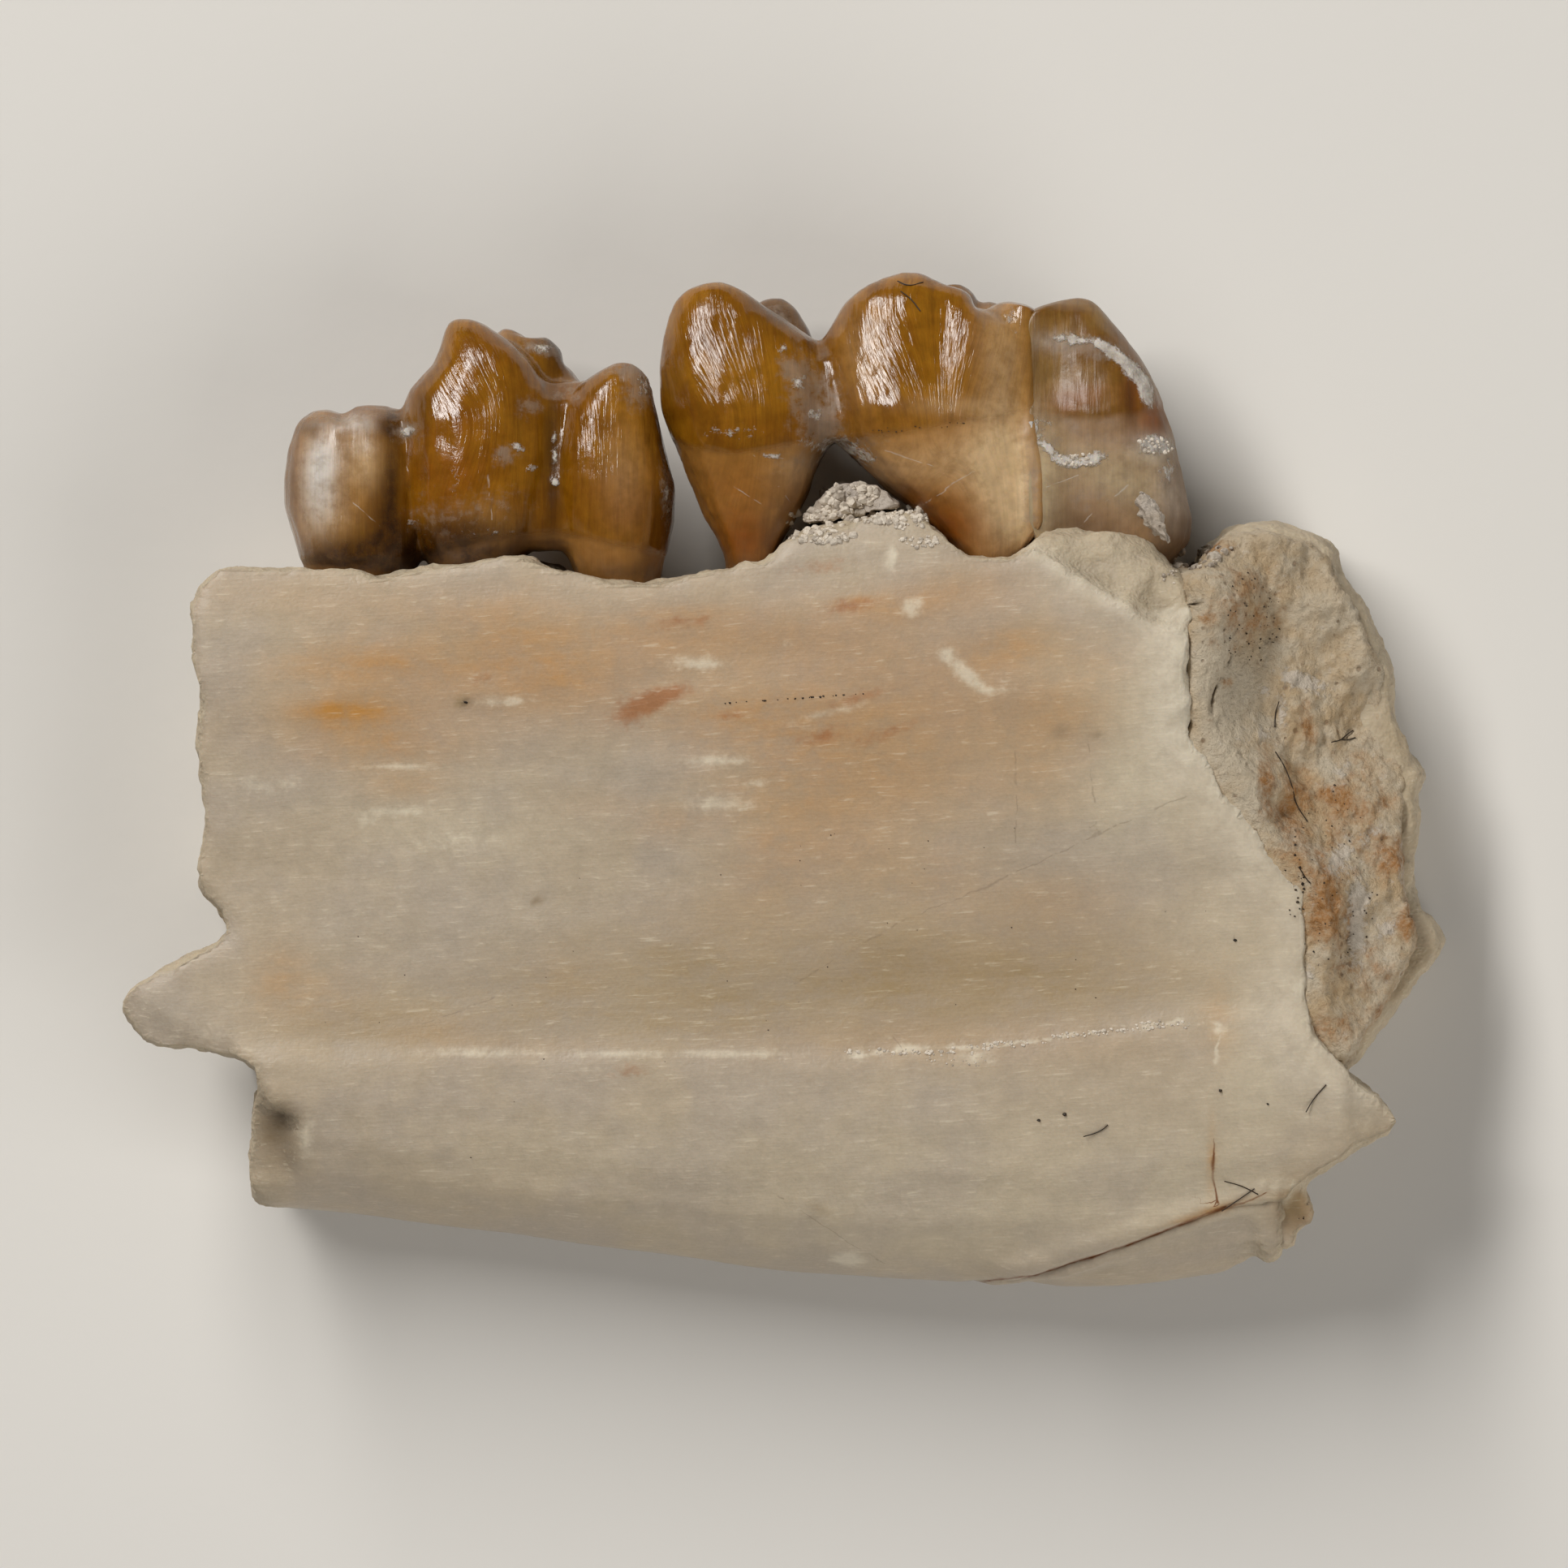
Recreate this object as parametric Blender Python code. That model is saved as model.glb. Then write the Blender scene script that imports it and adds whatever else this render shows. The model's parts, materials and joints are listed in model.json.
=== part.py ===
"""Fossil lower-jaw fragment of a small hoofed mammal, with three cheek teeth, lying on its inner side.

Lengths are millimetres until a mesh is made, where MM turns them into metres. +X runs back along the jaw,
+Y up towards the tooth tips and +Z out through the outer face. The origin lies under the middle of the
outline, on the plane that the flat inner face rests on.
"""

import math

import bmesh
import bpy
from mathutils import Vector
from mathutils.geometry import delaunay_2d_cdt

MM = 0.001

# Driving dimensions of the whole fragment
PIECE_GAP = 0.1  # between two pieces that touch
ALVEOLAR_TOP = 5.3  # the blank's upper end, a little above the highest bone between the roots
BELOW_BLANK = -10.4  # well below the lower border
THROUGH = (-2.0, 8.0)  # a cutter's reach when it passes through the whole thickness
PLATE_TOP = 1.4  # the inner plate, where the outer half of the jaw has broken away behind
POCKET = (1.5, 4.4)  # the marrow space that opens behind, between the inner and the outer plate
NOTCH_FLOOR = 3.0
FLAKE_BED = 1.6
REAR_STEP_TOP = 3.6
FRONT_SPIKE_UNDERSIDE = 2.8
REAR_SPIKE_UNDERSIDE = 2.5
TOOTH_SIDES = 16
CLEAR_OF_BONE = 6.6  # a height on the teeth that no bone reaches

# The jaw's cross section: share of the height from the lower border, outer face, inner face
SECTION = [
    (0.000, 2.60, 2.60),
    (0.008, 3.35, 1.85),
    (0.030, 3.95, 1.25),
    (0.070, 4.50, 0.70),
    (0.130, 4.90, 0.30),
    (0.200, 5.15, 0.08),
    (0.258, 5.20, 0.00),
    (0.274, 5.12, 0.00),
    (0.290, 5.04, 0.00),
    (0.360, 4.98, 0.00),
    (0.470, 5.06, 0.00),
    (0.600, 5.28, 0.00),
    (0.740, 5.55, 0.00),
    (0.860, 5.58, 0.08),
    (0.940, 5.42, 0.25),
    (1.000, 5.05, 0.50),
]
LEDGE_SHARE = 0.274  # the section's shallow step, which follows a line of its own
# How thick the jaw is along its length, as a share of the section above
THICKNESS = [(-13.0, 0.93), (-6.0, 0.97), (2.0, 1.0), (13.0, 1.02)]
STATION_STEP = 0.75

# The lower border, front to back
LOWER_BORDER = [
    (-13.0, -7.75), (-9.8, -8.05), (-7.2, -8.30), (-4.15, -8.75), (-1.05, -9.15), (1.2, -9.35),
    (3.3, -9.50), (4.75, -9.60), (6.1, -9.60), (7.35, -9.45), (8.1, -9.30), (13.0, -8.6),
]

# The line of the ledge on the outer face, front to back
LEDGE = [
    (-13.0, -5.00), (-9.0, -5.08), (-1.0, -5.13), (1.2, -5.13), (3.5, -4.98), (5.5, -4.75), (7.35, -4.45),
    (13.0, -4.30),
]

# The broken outline of the bone, in stretches that run clockwise as seen from the outer side
TOOTH_BORDER = [
    (-11.00, 3.80), (-10.65, 4.00), (-10.25, 4.05), (-9.50, 3.98), (-8.40, 4.03), (-7.65, 3.90),
    (-6.75, 4.05), (-5.80, 4.15), (-5.35, 4.25), (-4.80, 4.20), (-4.35, 4.05), (-3.50, 3.85),
    (-2.75, 3.75), (-2.15, 3.80), (-1.40, 4.00), (-0.55, 4.10), (-0.25, 4.20), (-0.10, 4.50),
    (0.10, 4.65), (0.60, 4.80), (1.40, 4.95), (2.00, 5.05), (2.45, 5.10), (2.75, 4.80), (3.00, 4.45),
    (3.45, 4.25), (4.05, 4.20), (4.45, 4.35), (4.65, 4.65), (5.05, 4.80), (5.75, 4.75), (6.20, 4.80),
    (6.50, 4.70), (7.05, 4.30), (7.50, 3.90), (7.72, 3.95), (7.86, 4.45),
]
INNER_PLATE_EDGE = [
    (8.10, 4.58), (8.35, 4.80), (8.65, 4.95), (9.25, 4.95), (9.85, 4.80), (10.25, 4.65), (10.45, 4.45),
    (10.50, 4.10), (10.80, 3.70), (11.05, 3.40), (11.25, 2.75), (11.50, 2.30), (11.60, 1.90),
    (11.55, 1.45), (11.75, 0.70), (11.85, 0.45), (12.05, 0.35), (12.20, 0.20), (12.12, -0.05),
    (11.95, -0.12), (12.05, -0.50), (11.95, -1.25), (11.90, -1.90), (12.15, -2.55), (12.45, -2.75),
    (12.60, -2.95), (12.25, -3.45), (11.95, -3.85), (11.45, -4.45), (11.00, -5.15), (10.65, -5.55),
]
REAR_SPIKE = [
    (11.00, -5.80), (11.30, -6.10), (11.45, -6.35), (11.35, -6.55), (10.70, -6.95), (10.25, -7.20),
]
REAR_STEP = [(9.70, -7.50), (9.80, -7.85), (9.95, -8.20), (9.80, -8.32), (9.40, -8.50), (9.20, -8.75)]
FLAKE_EDGE = [(9.05, -8.85), (8.80, -8.92), (8.50, -9.15), (8.10, -9.40)]
FRONT_LOW_EDGE = [
    (-9.80, -8.30), (-10.05, -7.95), (-10.20, -7.65), (-10.15, -6.95), (-10.10, -6.20), (-9.95, -5.45),
]
FRONT_SPIKE = [
    (-10.25, -5.25), (-10.55, -5.10), (-11.55, -5.00), (-12.05, -4.90), (-12.40, -4.45), (-12.55, -4.20),
    (-12.45, -4.00), (-12.15, -3.75), (-11.55, -3.40), (-11.00, -3.15), (-10.65, -3.00), (-10.50, -2.80),
]
FRONT_EDGE = [
    (-10.55, -2.60), (-10.70, -2.40), (-11.00, -2.10), (-11.10, -1.85), (-11.05, -1.45), (-10.95, -1.00),
    (-10.98, -0.40), (-11.05, 0.30), (-11.10, 0.85), (-11.00, 1.60), (-11.10, 2.05), (-11.20, 2.60),
    (-11.18, 3.40),
]
# Where the outer plate ends behind, top to bottom
OUTER_PLATE_BREAK = [
    (7.50, 3.90), (7.74, 3.35), (7.56, 2.90), (7.55, 1.00), (7.75, 0.55), (8.10, 0.20), (8.35, -0.30),
    (8.70, -0.85), (9.05, -1.30), (9.50, -1.70), (9.70, -2.05), (9.78, -2.80), (9.80, -4.35),
    (10.00, -4.90), (10.40, -5.30), (10.65, -5.56),
]
# The open crack above the flake, front to back, from where it leaves the lower border
CRACK = [
    (2.2, -9.78), (3.3, -9.50), (4.15, -9.30), (5.05, -9.00), (5.80, -8.75), (6.60, -8.45), (8.10, -7.92),
    (9.25, -7.60),
]
FRONT_NOTCH = [
    (-10.6, -5.50), (-9.80, -5.80), (-9.55, -6.05), (-9.15, -6.15), (-9.10, -7.05), (-9.30, -7.30),
    (-10.6, -7.35),
]
# The marrow space, from its blind front end to the open rear
MARROW_SPACE = [
    (12.9, 1.1), (7.3, 1.1), (6.7, 0.7), (6.4, -0.4), (6.7, -1.8), (7.6, -3.4), (9.0, -4.5), (12.9, -4.5),
]

# The sediment behind: its edge over the inner plate, then its hidden edge inside the marrow space
MATRIX_EDGE = [
    (7.70, 3.75), (7.98, 4.25), (8.40, 4.60), (9.15, 4.70), (9.80, 4.55), (10.20, 4.35), (10.28, 3.95),
    (10.60, 3.50), (10.95, 2.70), (11.22, 2.20), (11.30, 1.40), (11.50, 0.60), (11.72, 0.10),
    (11.62, -0.90), (11.60, -1.90), (11.80, -2.60), (11.90, -3.05), (11.30, -4.05), (10.80, -4.85),
    (10.48, -5.22), (10.12, -4.86), (9.92, -4.35), (9.00, -4.35), (7.75, -3.30), (6.85, -1.75),
    (6.55, -0.45), (6.85, 0.60), (7.35, 0.95), (7.68, 1.05), (7.68, 2.85), (7.86, 3.36),
]
MATRIX_FLOOR = 1.6
MATRIX_CREST = 4.1  # under the outer plate
MATRIX_SLOPE = 0.5
LUMPS_FROM = 0.6  # how far behind the break the lumps reach their full height
MATRIX_GRID = 0.6

# The crumbs between the front molar's roots, seated on the bone between the sockets
CRUMB_EDGE = [
    (0.28, 4.87), (0.42, 5.15), (0.62, 5.42), (0.95, 5.66), (1.35, 5.72), (1.68, 5.62), (1.98, 5.36),
    (2.18, 5.24), (1.90, 5.16), (1.35, 5.06), (0.75, 4.93),
]
CRUMB_FACES = (1.5, 4.5)
CRUMB_GRID = 0.4
CRUMB_LUMP = 0.25
CRUMB_LEAN = 0.3

# Rows of the teeth's columns, tip to root: height, front and back edge, inner and outer face
STUMP = [
    (7.12, -8.30, -7.60, 2.3, 3.1), (7.03, -9.00, -7.25, 1.9, 3.4), (6.85, -9.28, -7.00, 1.6, 3.75),
    (6.30, -9.46, -6.90, 1.5, 3.95), (5.75, -9.55, -6.90, 1.5, 4.05), (5.25, -9.52, -6.90, 1.5, 4.05),
    (4.80, -9.38, -6.90, 1.5, 4.05), (4.20, -9.22, -6.95, 1.5, 4.0), (3.20, -8.90, -7.40, 1.8, 3.7),
    (2.20, -8.50, -7.80, 2.3, 3.2),
]
PREMOLAR_FRONT = [
    (8.78, -6.30, -6.05, 3.0, 3.3), (8.68, -6.42, -5.80, 2.8, 3.5), (8.48, -6.50, -5.50, 2.6, 3.7),
    (8.20, -6.57, -5.10, 2.4, 3.9), (7.87, -6.72, -4.75, 2.1, 4.1), (7.40, -7.18, -4.45, 1.8, 4.25),
    (6.90, -7.30, -4.25, 1.5, 4.35), (6.20, -7.25, -4.25, 1.4, 4.4), (5.50, -7.18, -4.43, 1.4, 4.4),
    (4.95, -7.10, -4.52, 1.45, 4.35), (4.50, -6.95, -4.80, 1.5, 4.25), (4.10, -6.80, -5.15, 1.6, 4.15),
    (3.20, -6.60, -5.40, 1.8, 3.9), (2.00, -6.20, -5.70, 2.4, 3.4),
]
PREMOLAR_INNER_CUSP = [
    (8.64, -5.40, -4.95, 2.0, 2.4), (8.45, -5.60, -4.55, 1.7, 2.7), (8.05, -5.70, -4.15, 1.5, 2.9),
    (7.50, -5.80, -3.95, 1.4, 3.0), (6.60, -5.80, -3.90, 1.45, 3.0),
]
PREMOLAR_BACK = [
    (7.93, -3.20, -3.00, 3.2, 3.5), (7.86, -3.38, -2.84, 3.0, 3.7), (7.68, -3.65, -2.68, 2.7, 3.9),
    (7.40, -4.02, -2.58, 2.3, 4.05), (7.05, -4.28, -2.50, 2.0, 4.2), (6.35, -4.42, -2.36, 1.6, 4.35),
    (5.60, -4.46, -2.14, 1.5, 4.4), (5.00, -4.42, -2.18, 1.5, 4.35), (4.54, -4.26, -2.28, 1.55, 4.3),
    (4.15, -4.10, -2.35, 1.6, 4.2), (3.75, -3.90, -2.44, 1.7, 4.1), (2.80, -3.70, -2.60, 1.9, 3.8),
    (1.80, -3.40, -2.90, 2.4, 3.3),
]
PREMOLAR_BODY = [
    (7.55, -6.3, -3.3, 1.8, 3.4), (7.15, -6.8, -2.9, 1.5, 3.9), (5.05, -6.9, -2.7, 1.5, 4.0),
    (4.60, -6.7, -2.9, 1.6, 3.9), (4.42, -6.3, -3.2, 1.9, 3.6),
]
MOLAR_FRONT = [
    (9.43, -1.55, -1.28, 3.45, 3.75), (9.32, -1.85, -0.98, 3.2, 4.0), (9.10, -2.08, -0.62, 3.0, 4.15),
    (8.80, -2.22, -0.10, 2.75, 4.35), (8.38, -2.35, 0.48, 2.5, 4.5), (7.87, -2.42, 0.76, 1.9, 4.68),
    (7.10, -2.37, 0.88, 1.0, 4.8), (6.55, -2.17, 0.88, 0.95, 4.8), (6.12, -2.02, 0.62, 1.05, 4.65),
    (5.58, -1.80, 0.45, 1.25, 4.45), (5.10, -1.60, 0.22, 1.35, 4.35), (4.70, -1.35, -0.05, 1.4, 4.3),
    (4.28, -1.18, -0.22, 1.5, 4.2), (3.00, -1.05, -0.35, 1.8, 4.0), (1.60, -0.95, -0.55, 2.4, 3.4),
]
MOLAR_BACK = [
    (9.61, 2.20, 2.55, 3.35, 3.65), (9.51, 1.80, 2.90, 3.15, 3.9), (9.35, 1.42, 3.28, 3.0, 4.1),
    (9.10, 1.12, 3.60, 2.8, 4.25), (8.75, 0.92, 4.05, 2.6, 4.4), (8.38, 0.70, 4.48, 2.4, 4.5),
    (7.87, 0.60, 4.60, 1.9, 4.7), (7.10, 0.62, 4.65, 1.0, 4.85), (6.55, 0.86, 4.66, 0.95, 4.85),
    (6.04, 1.38, 4.66, 1.05, 4.75), (5.58, 1.84, 4.66, 1.2, 4.6), (5.20, 2.34, 4.65, 1.3, 4.5),
    (4.90, 2.64, 4.62, 1.35, 4.45), (4.55, 2.98, 4.45, 1.4, 4.4), (4.15, 3.36, 4.25, 1.5, 4.3),
    (3.00, 3.50, 4.10, 1.8, 4.0), (1.60, 3.65, 3.95, 2.4, 3.4),
]
MOLAR_BACK_SHOULDER = [
    (9.08, 3.95, 4.18, 2.9, 3.3), (8.95, 3.78, 4.42, 2.7, 3.6), (8.60, 3.62, 4.55, 2.5, 3.9),
    (7.90, 3.62, 4.58, 2.4, 4.1),
]
MOLAR_FRONT_INNER_CUSP = [
    (9.20, -0.38, -0.06, 1.5, 1.8), (9.02, -0.70, 0.15, 1.3, 2.1), (8.60, -1.10, 0.40, 1.15, 2.4),
    (8.00, -1.50, 0.60, 1.05, 2.7), (7.00, -1.70, 0.65, 1.05, 2.9),
]
MOLAR_BACK_INNER_CUSP = [
    (9.52, 2.92, 3.28, 1.5, 1.8), (9.30, 2.50, 3.65, 1.3, 2.1), (8.90, 1.90, 4.25, 1.15, 2.4),
    (8.30, 1.50, 4.45, 1.05, 2.7), (7.00, 1.30, 4.50, 1.05, 2.9),
]
MOLAR_BODY = [
    (8.30, -1.7, 4.1, 1.3, 3.6), (7.95, -2.0, 4.4, 1.02, 4.15), (6.85, -2.0, 4.5, 1.0, 4.35),
    (6.52, -1.7, 4.2, 1.2, 4.1),
]
REAR_MOLAR = [
    (9.16, 5.35, 5.65, 3.0, 3.3), (9.04, 5.05, 5.86, 2.8, 3.6), (8.88, 4.80, 6.00, 2.6, 3.8),
    (8.50, 4.77, 6.33, 2.3, 4.0), (8.00, 4.77, 6.70, 1.7, 4.15), (7.40, 4.77, 7.05, 1.1, 4.3),
    (6.80, 4.77, 7.28, 1.0, 4.4), (6.20, 4.77, 7.43, 1.05, 4.45), (5.60, 4.78, 7.56, 1.1, 4.45),
    (5.00, 4.82, 7.68, 1.2, 4.45), (4.60, 4.95, 7.66, 1.3, 4.4), (4.20, 5.10, 7.35, 1.4, 4.3),
    (3.60, 5.20, 7.00, 1.6, 4.2), (2.60, 5.40, 6.70, 1.8, 3.9), (1.40, 5.80, 6.30, 2.4, 3.4),
]
REAR_MOLAR_INNER_CUSP = [
    (8.75, 5.70, 6.05, 1.6, 1.9), (8.50, 5.35, 6.25, 1.35, 2.2), (8.00, 5.05, 6.60, 1.15, 2.5),
    (7.00, 4.90, 6.90, 1.05, 2.8),
]
SEDIMENT_PEG = [
    (5.58, 6.60, 6.78, 4.72, 4.95), (5.42, 6.55, 6.92, 4.60, 5.10), (5.05, 6.58, 7.08, 4.56, 5.20),
    (4.80, 6.72, 7.18, 4.56, 5.20), (4.62, 6.92, 7.26, 4.62, 5.12), (4.46, 7.10, 7.30, 4.75, 5.0),
]


def clear_scene():
    for thing in list(bpy.data.objects):
        bpy.data.objects.remove(thing, do_unlink=True)


def material(name, colour, roughness):
    """A plain finish for one piece."""
    finish = bpy.data.materials.new(name)
    finish.use_nodes = True
    shader = finish.node_tree.nodes["Principled BSDF"]
    shader.inputs["Base Color"].default_value = (*colour, 1)
    shader.inputs["Roughness"].default_value = roughness
    shader.inputs["Metallic"].default_value = 0
    return finish


def add_object(name, bm):
    """Turns millimetres into metres and links the mesh into the scene with its faces pointing out."""
    bmesh.ops.scale(bm, vec=(MM, MM, MM), verts=bm.verts)
    bmesh.ops.recalc_face_normals(bm, faces=bm.faces)
    mesh = bpy.data.meshes.new(name)
    bm.to_mesh(mesh)
    bm.free()
    thing = bpy.data.objects.new(name, mesh)
    bpy.context.scene.collection.objects.link(thing)
    return thing


def helper(thing):
    """Marks a shape that only cuts or joins another."""
    thing.hide_render = True
    thing.display_type = "WIRE"
    return thing


def combine(target, tool, operation):
    modifier = target.modifiers.new(tool.name, "BOOLEAN")
    modifier.operation = operation
    modifier.solver = "EXACT"
    modifier.object = helper(tool)


def value_at(table, x):
    """Reads a table of (x, value) on straight lines between its rows."""
    for (x0, v0), (x1, v1) in zip(table, table[1:]):
        if x <= x1:
            return v0 + (v1 - v0) * (x - x0) / (x1 - x0)
    return table[-1][1]


def loft(name, rings):
    """A closed skin over rings of equally many points."""
    bm = bmesh.new()
    loops = [[bm.verts.new(point) for point in ring] for ring in rings]
    for near, far in zip(loops, loops[1:]):
        for i in range(len(near)):
            j = (i + 1) % len(near)
            bm.faces.new((near[i], near[j], far[j], far[i]))
    bm.faces.new(loops[0])
    bm.faces.new(loops[-1])
    return add_object(name, bm)


def prism(name, outline, levels):
    """An outline drawn in the plane of the jaw's side, extruded through its thickness."""
    bm = bmesh.new()
    base = bm.faces.new([bm.verts.new((x, y, levels[0])) for x, y in outline])
    extruded = bmesh.ops.extrude_face_region(bm, geom=[base])
    raised = [part for part in extruded["geom"] if isinstance(part, bmesh.types.BMVert)]
    bmesh.ops.translate(bm, vec=(0, 0, levels[1] - levels[0]), verts=raised)
    return add_object(name, bm)


def level(x, share):
    """The height of a share of the section at x, counted up to the ledge and then on to the top."""
    bottom, ledge = value_at(LOWER_BORDER, x), value_at(LEDGE, x)
    if share <= LEDGE_SHARE:
        return bottom + (ledge - bottom) * share / LEDGE_SHARE
    return ledge + (ALVEOLAR_TOP - ledge) * (share - LEDGE_SHARE) / (1 - LEDGE_SHARE)


def section_ring(x):
    """The jaw's cross section at x: up the outer face, then down the inner one."""
    thickness = value_at(THICKNESS, x)
    outer = [(x, level(x, share), face * thickness) for share, face, _ in SECTION]
    inner = [(x, level(x, share), face * thickness) for share, _, face in SECTION[1:]]
    return outer + inner[::-1]


def jaw_blank(name):
    """The whole jaw before it broke: one smooth length with the section above."""
    first, last = LOWER_BORDER[0][0], LOWER_BORDER[-1][0]
    count = math.ceil((last - first) / STATION_STEP)
    return loft(name, [section_ring(first + (last - first) * i / count) for i in range(count + 1)])


def tooth_ring(y, x0, x1, z0, z1, outward=2.7, inward=3.2):
    """One level of a tooth: a softly rounded outer half and a squarer inner half."""
    middle_x, half = (x0 + x1) / 2, (x1 - x0) / 2
    middle_z = z0 + 0.45 * (z1 - z0)
    ring = []
    for i in range(TOOTH_SIDES):
        angle = 2 * math.pi * (i + 0.5) / TOOTH_SIDES
        across, along = math.cos(angle), math.sin(angle)
        power, reach = (outward, z1 - middle_z) if along > 0 else (inward, middle_z - z0)
        x = middle_x + half * math.copysign(abs(across) ** (2 / power), across)
        z = middle_z + reach * math.copysign(abs(along) ** (2 / power), along)
        ring.append((x, y, z))
    return ring


def column(name, rows):
    return loft(name, [tooth_ring(*row) for row in rows])


def socket(name, rows):
    """Room for a root: its column made wider by the gap, from above the bone to below the root's tip."""
    gap = PIECE_GAP
    wide = [(y, x0 - gap, x1 + gap, z0 - gap, z1 + gap) for y, x0, x1, z0, z1 in rows if y < CLEAR_OF_BONE]
    lowest = wide.pop()
    return column(name, wide + [(lowest[0] - gap, *lowest[1:])])


def tooth(name, columns, finish):
    """A tooth of several columns grown together. The first one carries the others."""
    body = column(name, columns[0])
    for i, rows in enumerate(columns[1:], 1):
        combine(body, column(f"{name}_column_{i}", rows), "UNION")
    dress(body, finish)
    return body


def dress(thing, finish):
    thing.data.materials.append(finish)
    thing.data.shade_smooth()
    thing.data.set_sharp_from_angle(angle=math.radians(40))


def jaw_outline():
    """The bone's whole side view, the inner plate behind included."""
    below = [(FLAKE_EDGE[-1][0], BELOW_BLANK), (FRONT_LOW_EDGE[0][0], BELOW_BLANK)]
    return (
        TOOTH_BORDER + INNER_PLATE_EDGE + REAR_SPIKE + REAR_STEP + FLAKE_EDGE
        + below + FRONT_LOW_EDGE + FRONT_SPIKE + FRONT_EDGE
    )


def shifted(points, dx, dy):
    return [(x + dx, y + dy) for x, y in points]


def cut_rear(bone):
    """Takes the outer half away behind its break and opens the marrow space behind."""
    behind = OUTER_PLATE_BREAK + [(12.0, -5.56), (14.0, -4.0), (14.0, 6.0), (7.5, 6.0)]
    combine(bone, prism("rear_break", behind, (PLATE_TOP, THROUGH[1])), "DIFFERENCE")
    combine(bone, prism("marrow_space", MARROW_SPACE, POCKET), "DIFFERENCE")
    under_spike = [(10.05, -5.58), (12.0, -5.58), (12.0, -7.6), (9.95, -7.42)]
    below = (THROUGH[0], REAR_SPIKE_UNDERSIDE)
    combine(bone, prism("rear_spike_underside", under_spike, below), "DIFFERENCE")
    above_step = [(9.26, -7.66), (9.78, -7.52), (10.6, -7.6), (10.6, -9.2), (9.26, -9.2)]
    combine(bone, prism("rear_step_top", above_step, (REAR_STEP_TOP, THROUGH[1])), "DIFFERENCE")


def cut_front(bone):
    """Thins the front spike to a splinter of the outer plate and chips the corner below it."""
    under_spike = [(-13.2, -2.4), (-10.62, -2.7), (-10.4, -5.1), (-13.2, -5.6)]
    below = (THROUGH[0], FRONT_SPIKE_UNDERSIDE)
    combine(bone, prism("front_spike_underside", under_spike, below), "DIFFERENCE")
    combine(bone, prism("front_notch", FRONT_NOTCH, (NOTCH_FLOOR, THROUGH[1])), "DIFFERENCE")


def make_bone(finish):
    bone = jaw_blank("jaw_bone")
    combine(bone, prism("bone_outline", jaw_outline(), THROUGH), "INTERSECT")
    cut_rear(bone)
    cut_front(bone)
    bed = CRACK + [(9.25, BELOW_BLANK - 1), (CRACK[0][0], BELOW_BLANK - 1)]
    combine(bone, prism("flake_bed", bed, (FLAKE_BED, THROUGH[1])), "DIFFERENCE")
    roots = {
        "stump_socket": STUMP,
        "premolar_front_socket": PREMOLAR_FRONT,
        "premolar_back_socket": PREMOLAR_BACK,
        "molar_front_socket": MOLAR_FRONT,
        "molar_back_socket": MOLAR_BACK,
        "rear_molar_socket": REAR_MOLAR,
    }
    for name, rows in roots.items():
        combine(bone, socket(name, rows), "DIFFERENCE")
    dress(bone, finish)


def make_flake(finish):
    """The splinter of the lower border that stands off by the width of the open crack."""
    flake = jaw_blank("ventral_flake")
    edge = shifted(CRACK, 0.0, -PIECE_GAP)
    back = [(edge[-1][0] - PIECE_GAP, edge[-1][1]), (9.15, -8.80)] + FLAKE_EDGE
    outline = edge[:-1] + back + [(FLAKE_EDGE[-1][0], BELOW_BLANK), (CRACK[0][0], BELOW_BLANK)]
    combine(flake, prism("flake_outline", outline, (FLAKE_BED + PIECE_GAP, THROUGH[1])), "INTERSECT")
    dress(flake, finish)


def matrix_top(x, y):
    """The sediment's height: level under the outer plate, then down behind its break, in lumps."""
    rim = value_at([(-y0, x0) for x0, y0 in OUTER_PLATE_BREAK], -y)
    behind = max(0.0, x - rim)
    lumps = 0.16 * math.sin(2.1 * x + 0.7) * math.sin(1.7 * y - 0.4) + 0.08 * math.sin(4.3 * x - 2.9 * y)
    return MATRIX_CREST - MATRIX_SLOPE * behind + lumps * min(1.0, behind / LUMPS_FROM)


def slab(name, outline, floor, top, step):
    """A closed slab over an outline, with a flat floor and a top that follows a height function."""
    low_x, high_x = min(x for x, _ in outline), max(x for x, _ in outline)
    low_y, high_y = min(y for _, y in outline), max(y for _, y in outline)
    inner = [
        Vector((low_x + (i + 0.5 * (j % 2)) * step, low_y + (j + 0.5) * step))
        for j in range(math.ceil((high_y - low_y) / step))
        for i in range(math.ceil((high_x - low_x) / step))
    ]
    ring = [Vector(point) for point in outline]
    clear = [p for p in inner if min((p - q).length for q in ring) > 0.5 * step]
    edges = [(i, (i + 1) % len(ring)) for i in range(len(ring))]
    points, _, faces, *_ = delaunay_2d_cdt(ring + clear, edges, [list(range(len(ring)))], 1, 1e-5)
    bm = bmesh.new()
    low = [bm.verts.new((p.x, p.y, floor)) for p in points]
    for face in faces:
        bm.faces.new([low[i] for i in face])
    extruded = bmesh.ops.extrude_face_region(bm, geom=bm.faces[:])
    raised = [part for part in extruded["geom"] if isinstance(part, bmesh.types.BMVert)]
    for vert in raised:
        vert.co.z = top(vert.co.x, vert.co.y)
    loose = [vert for vert in bm.verts if not vert.link_faces]
    bmesh.ops.delete(bm, geom=loose, context="VERTS")
    return add_object(name, bm)


def crumb_top(x, y):
    """The crumbs' outer side: lumpy, and leaning inwards towards the teeth."""
    return CRUMB_FACES[1] - CRUMB_LUMP * abs(math.sin(3.1 * x)) - CRUMB_LEAN * (y - CRUMB_EDGE[0][1])


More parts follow.
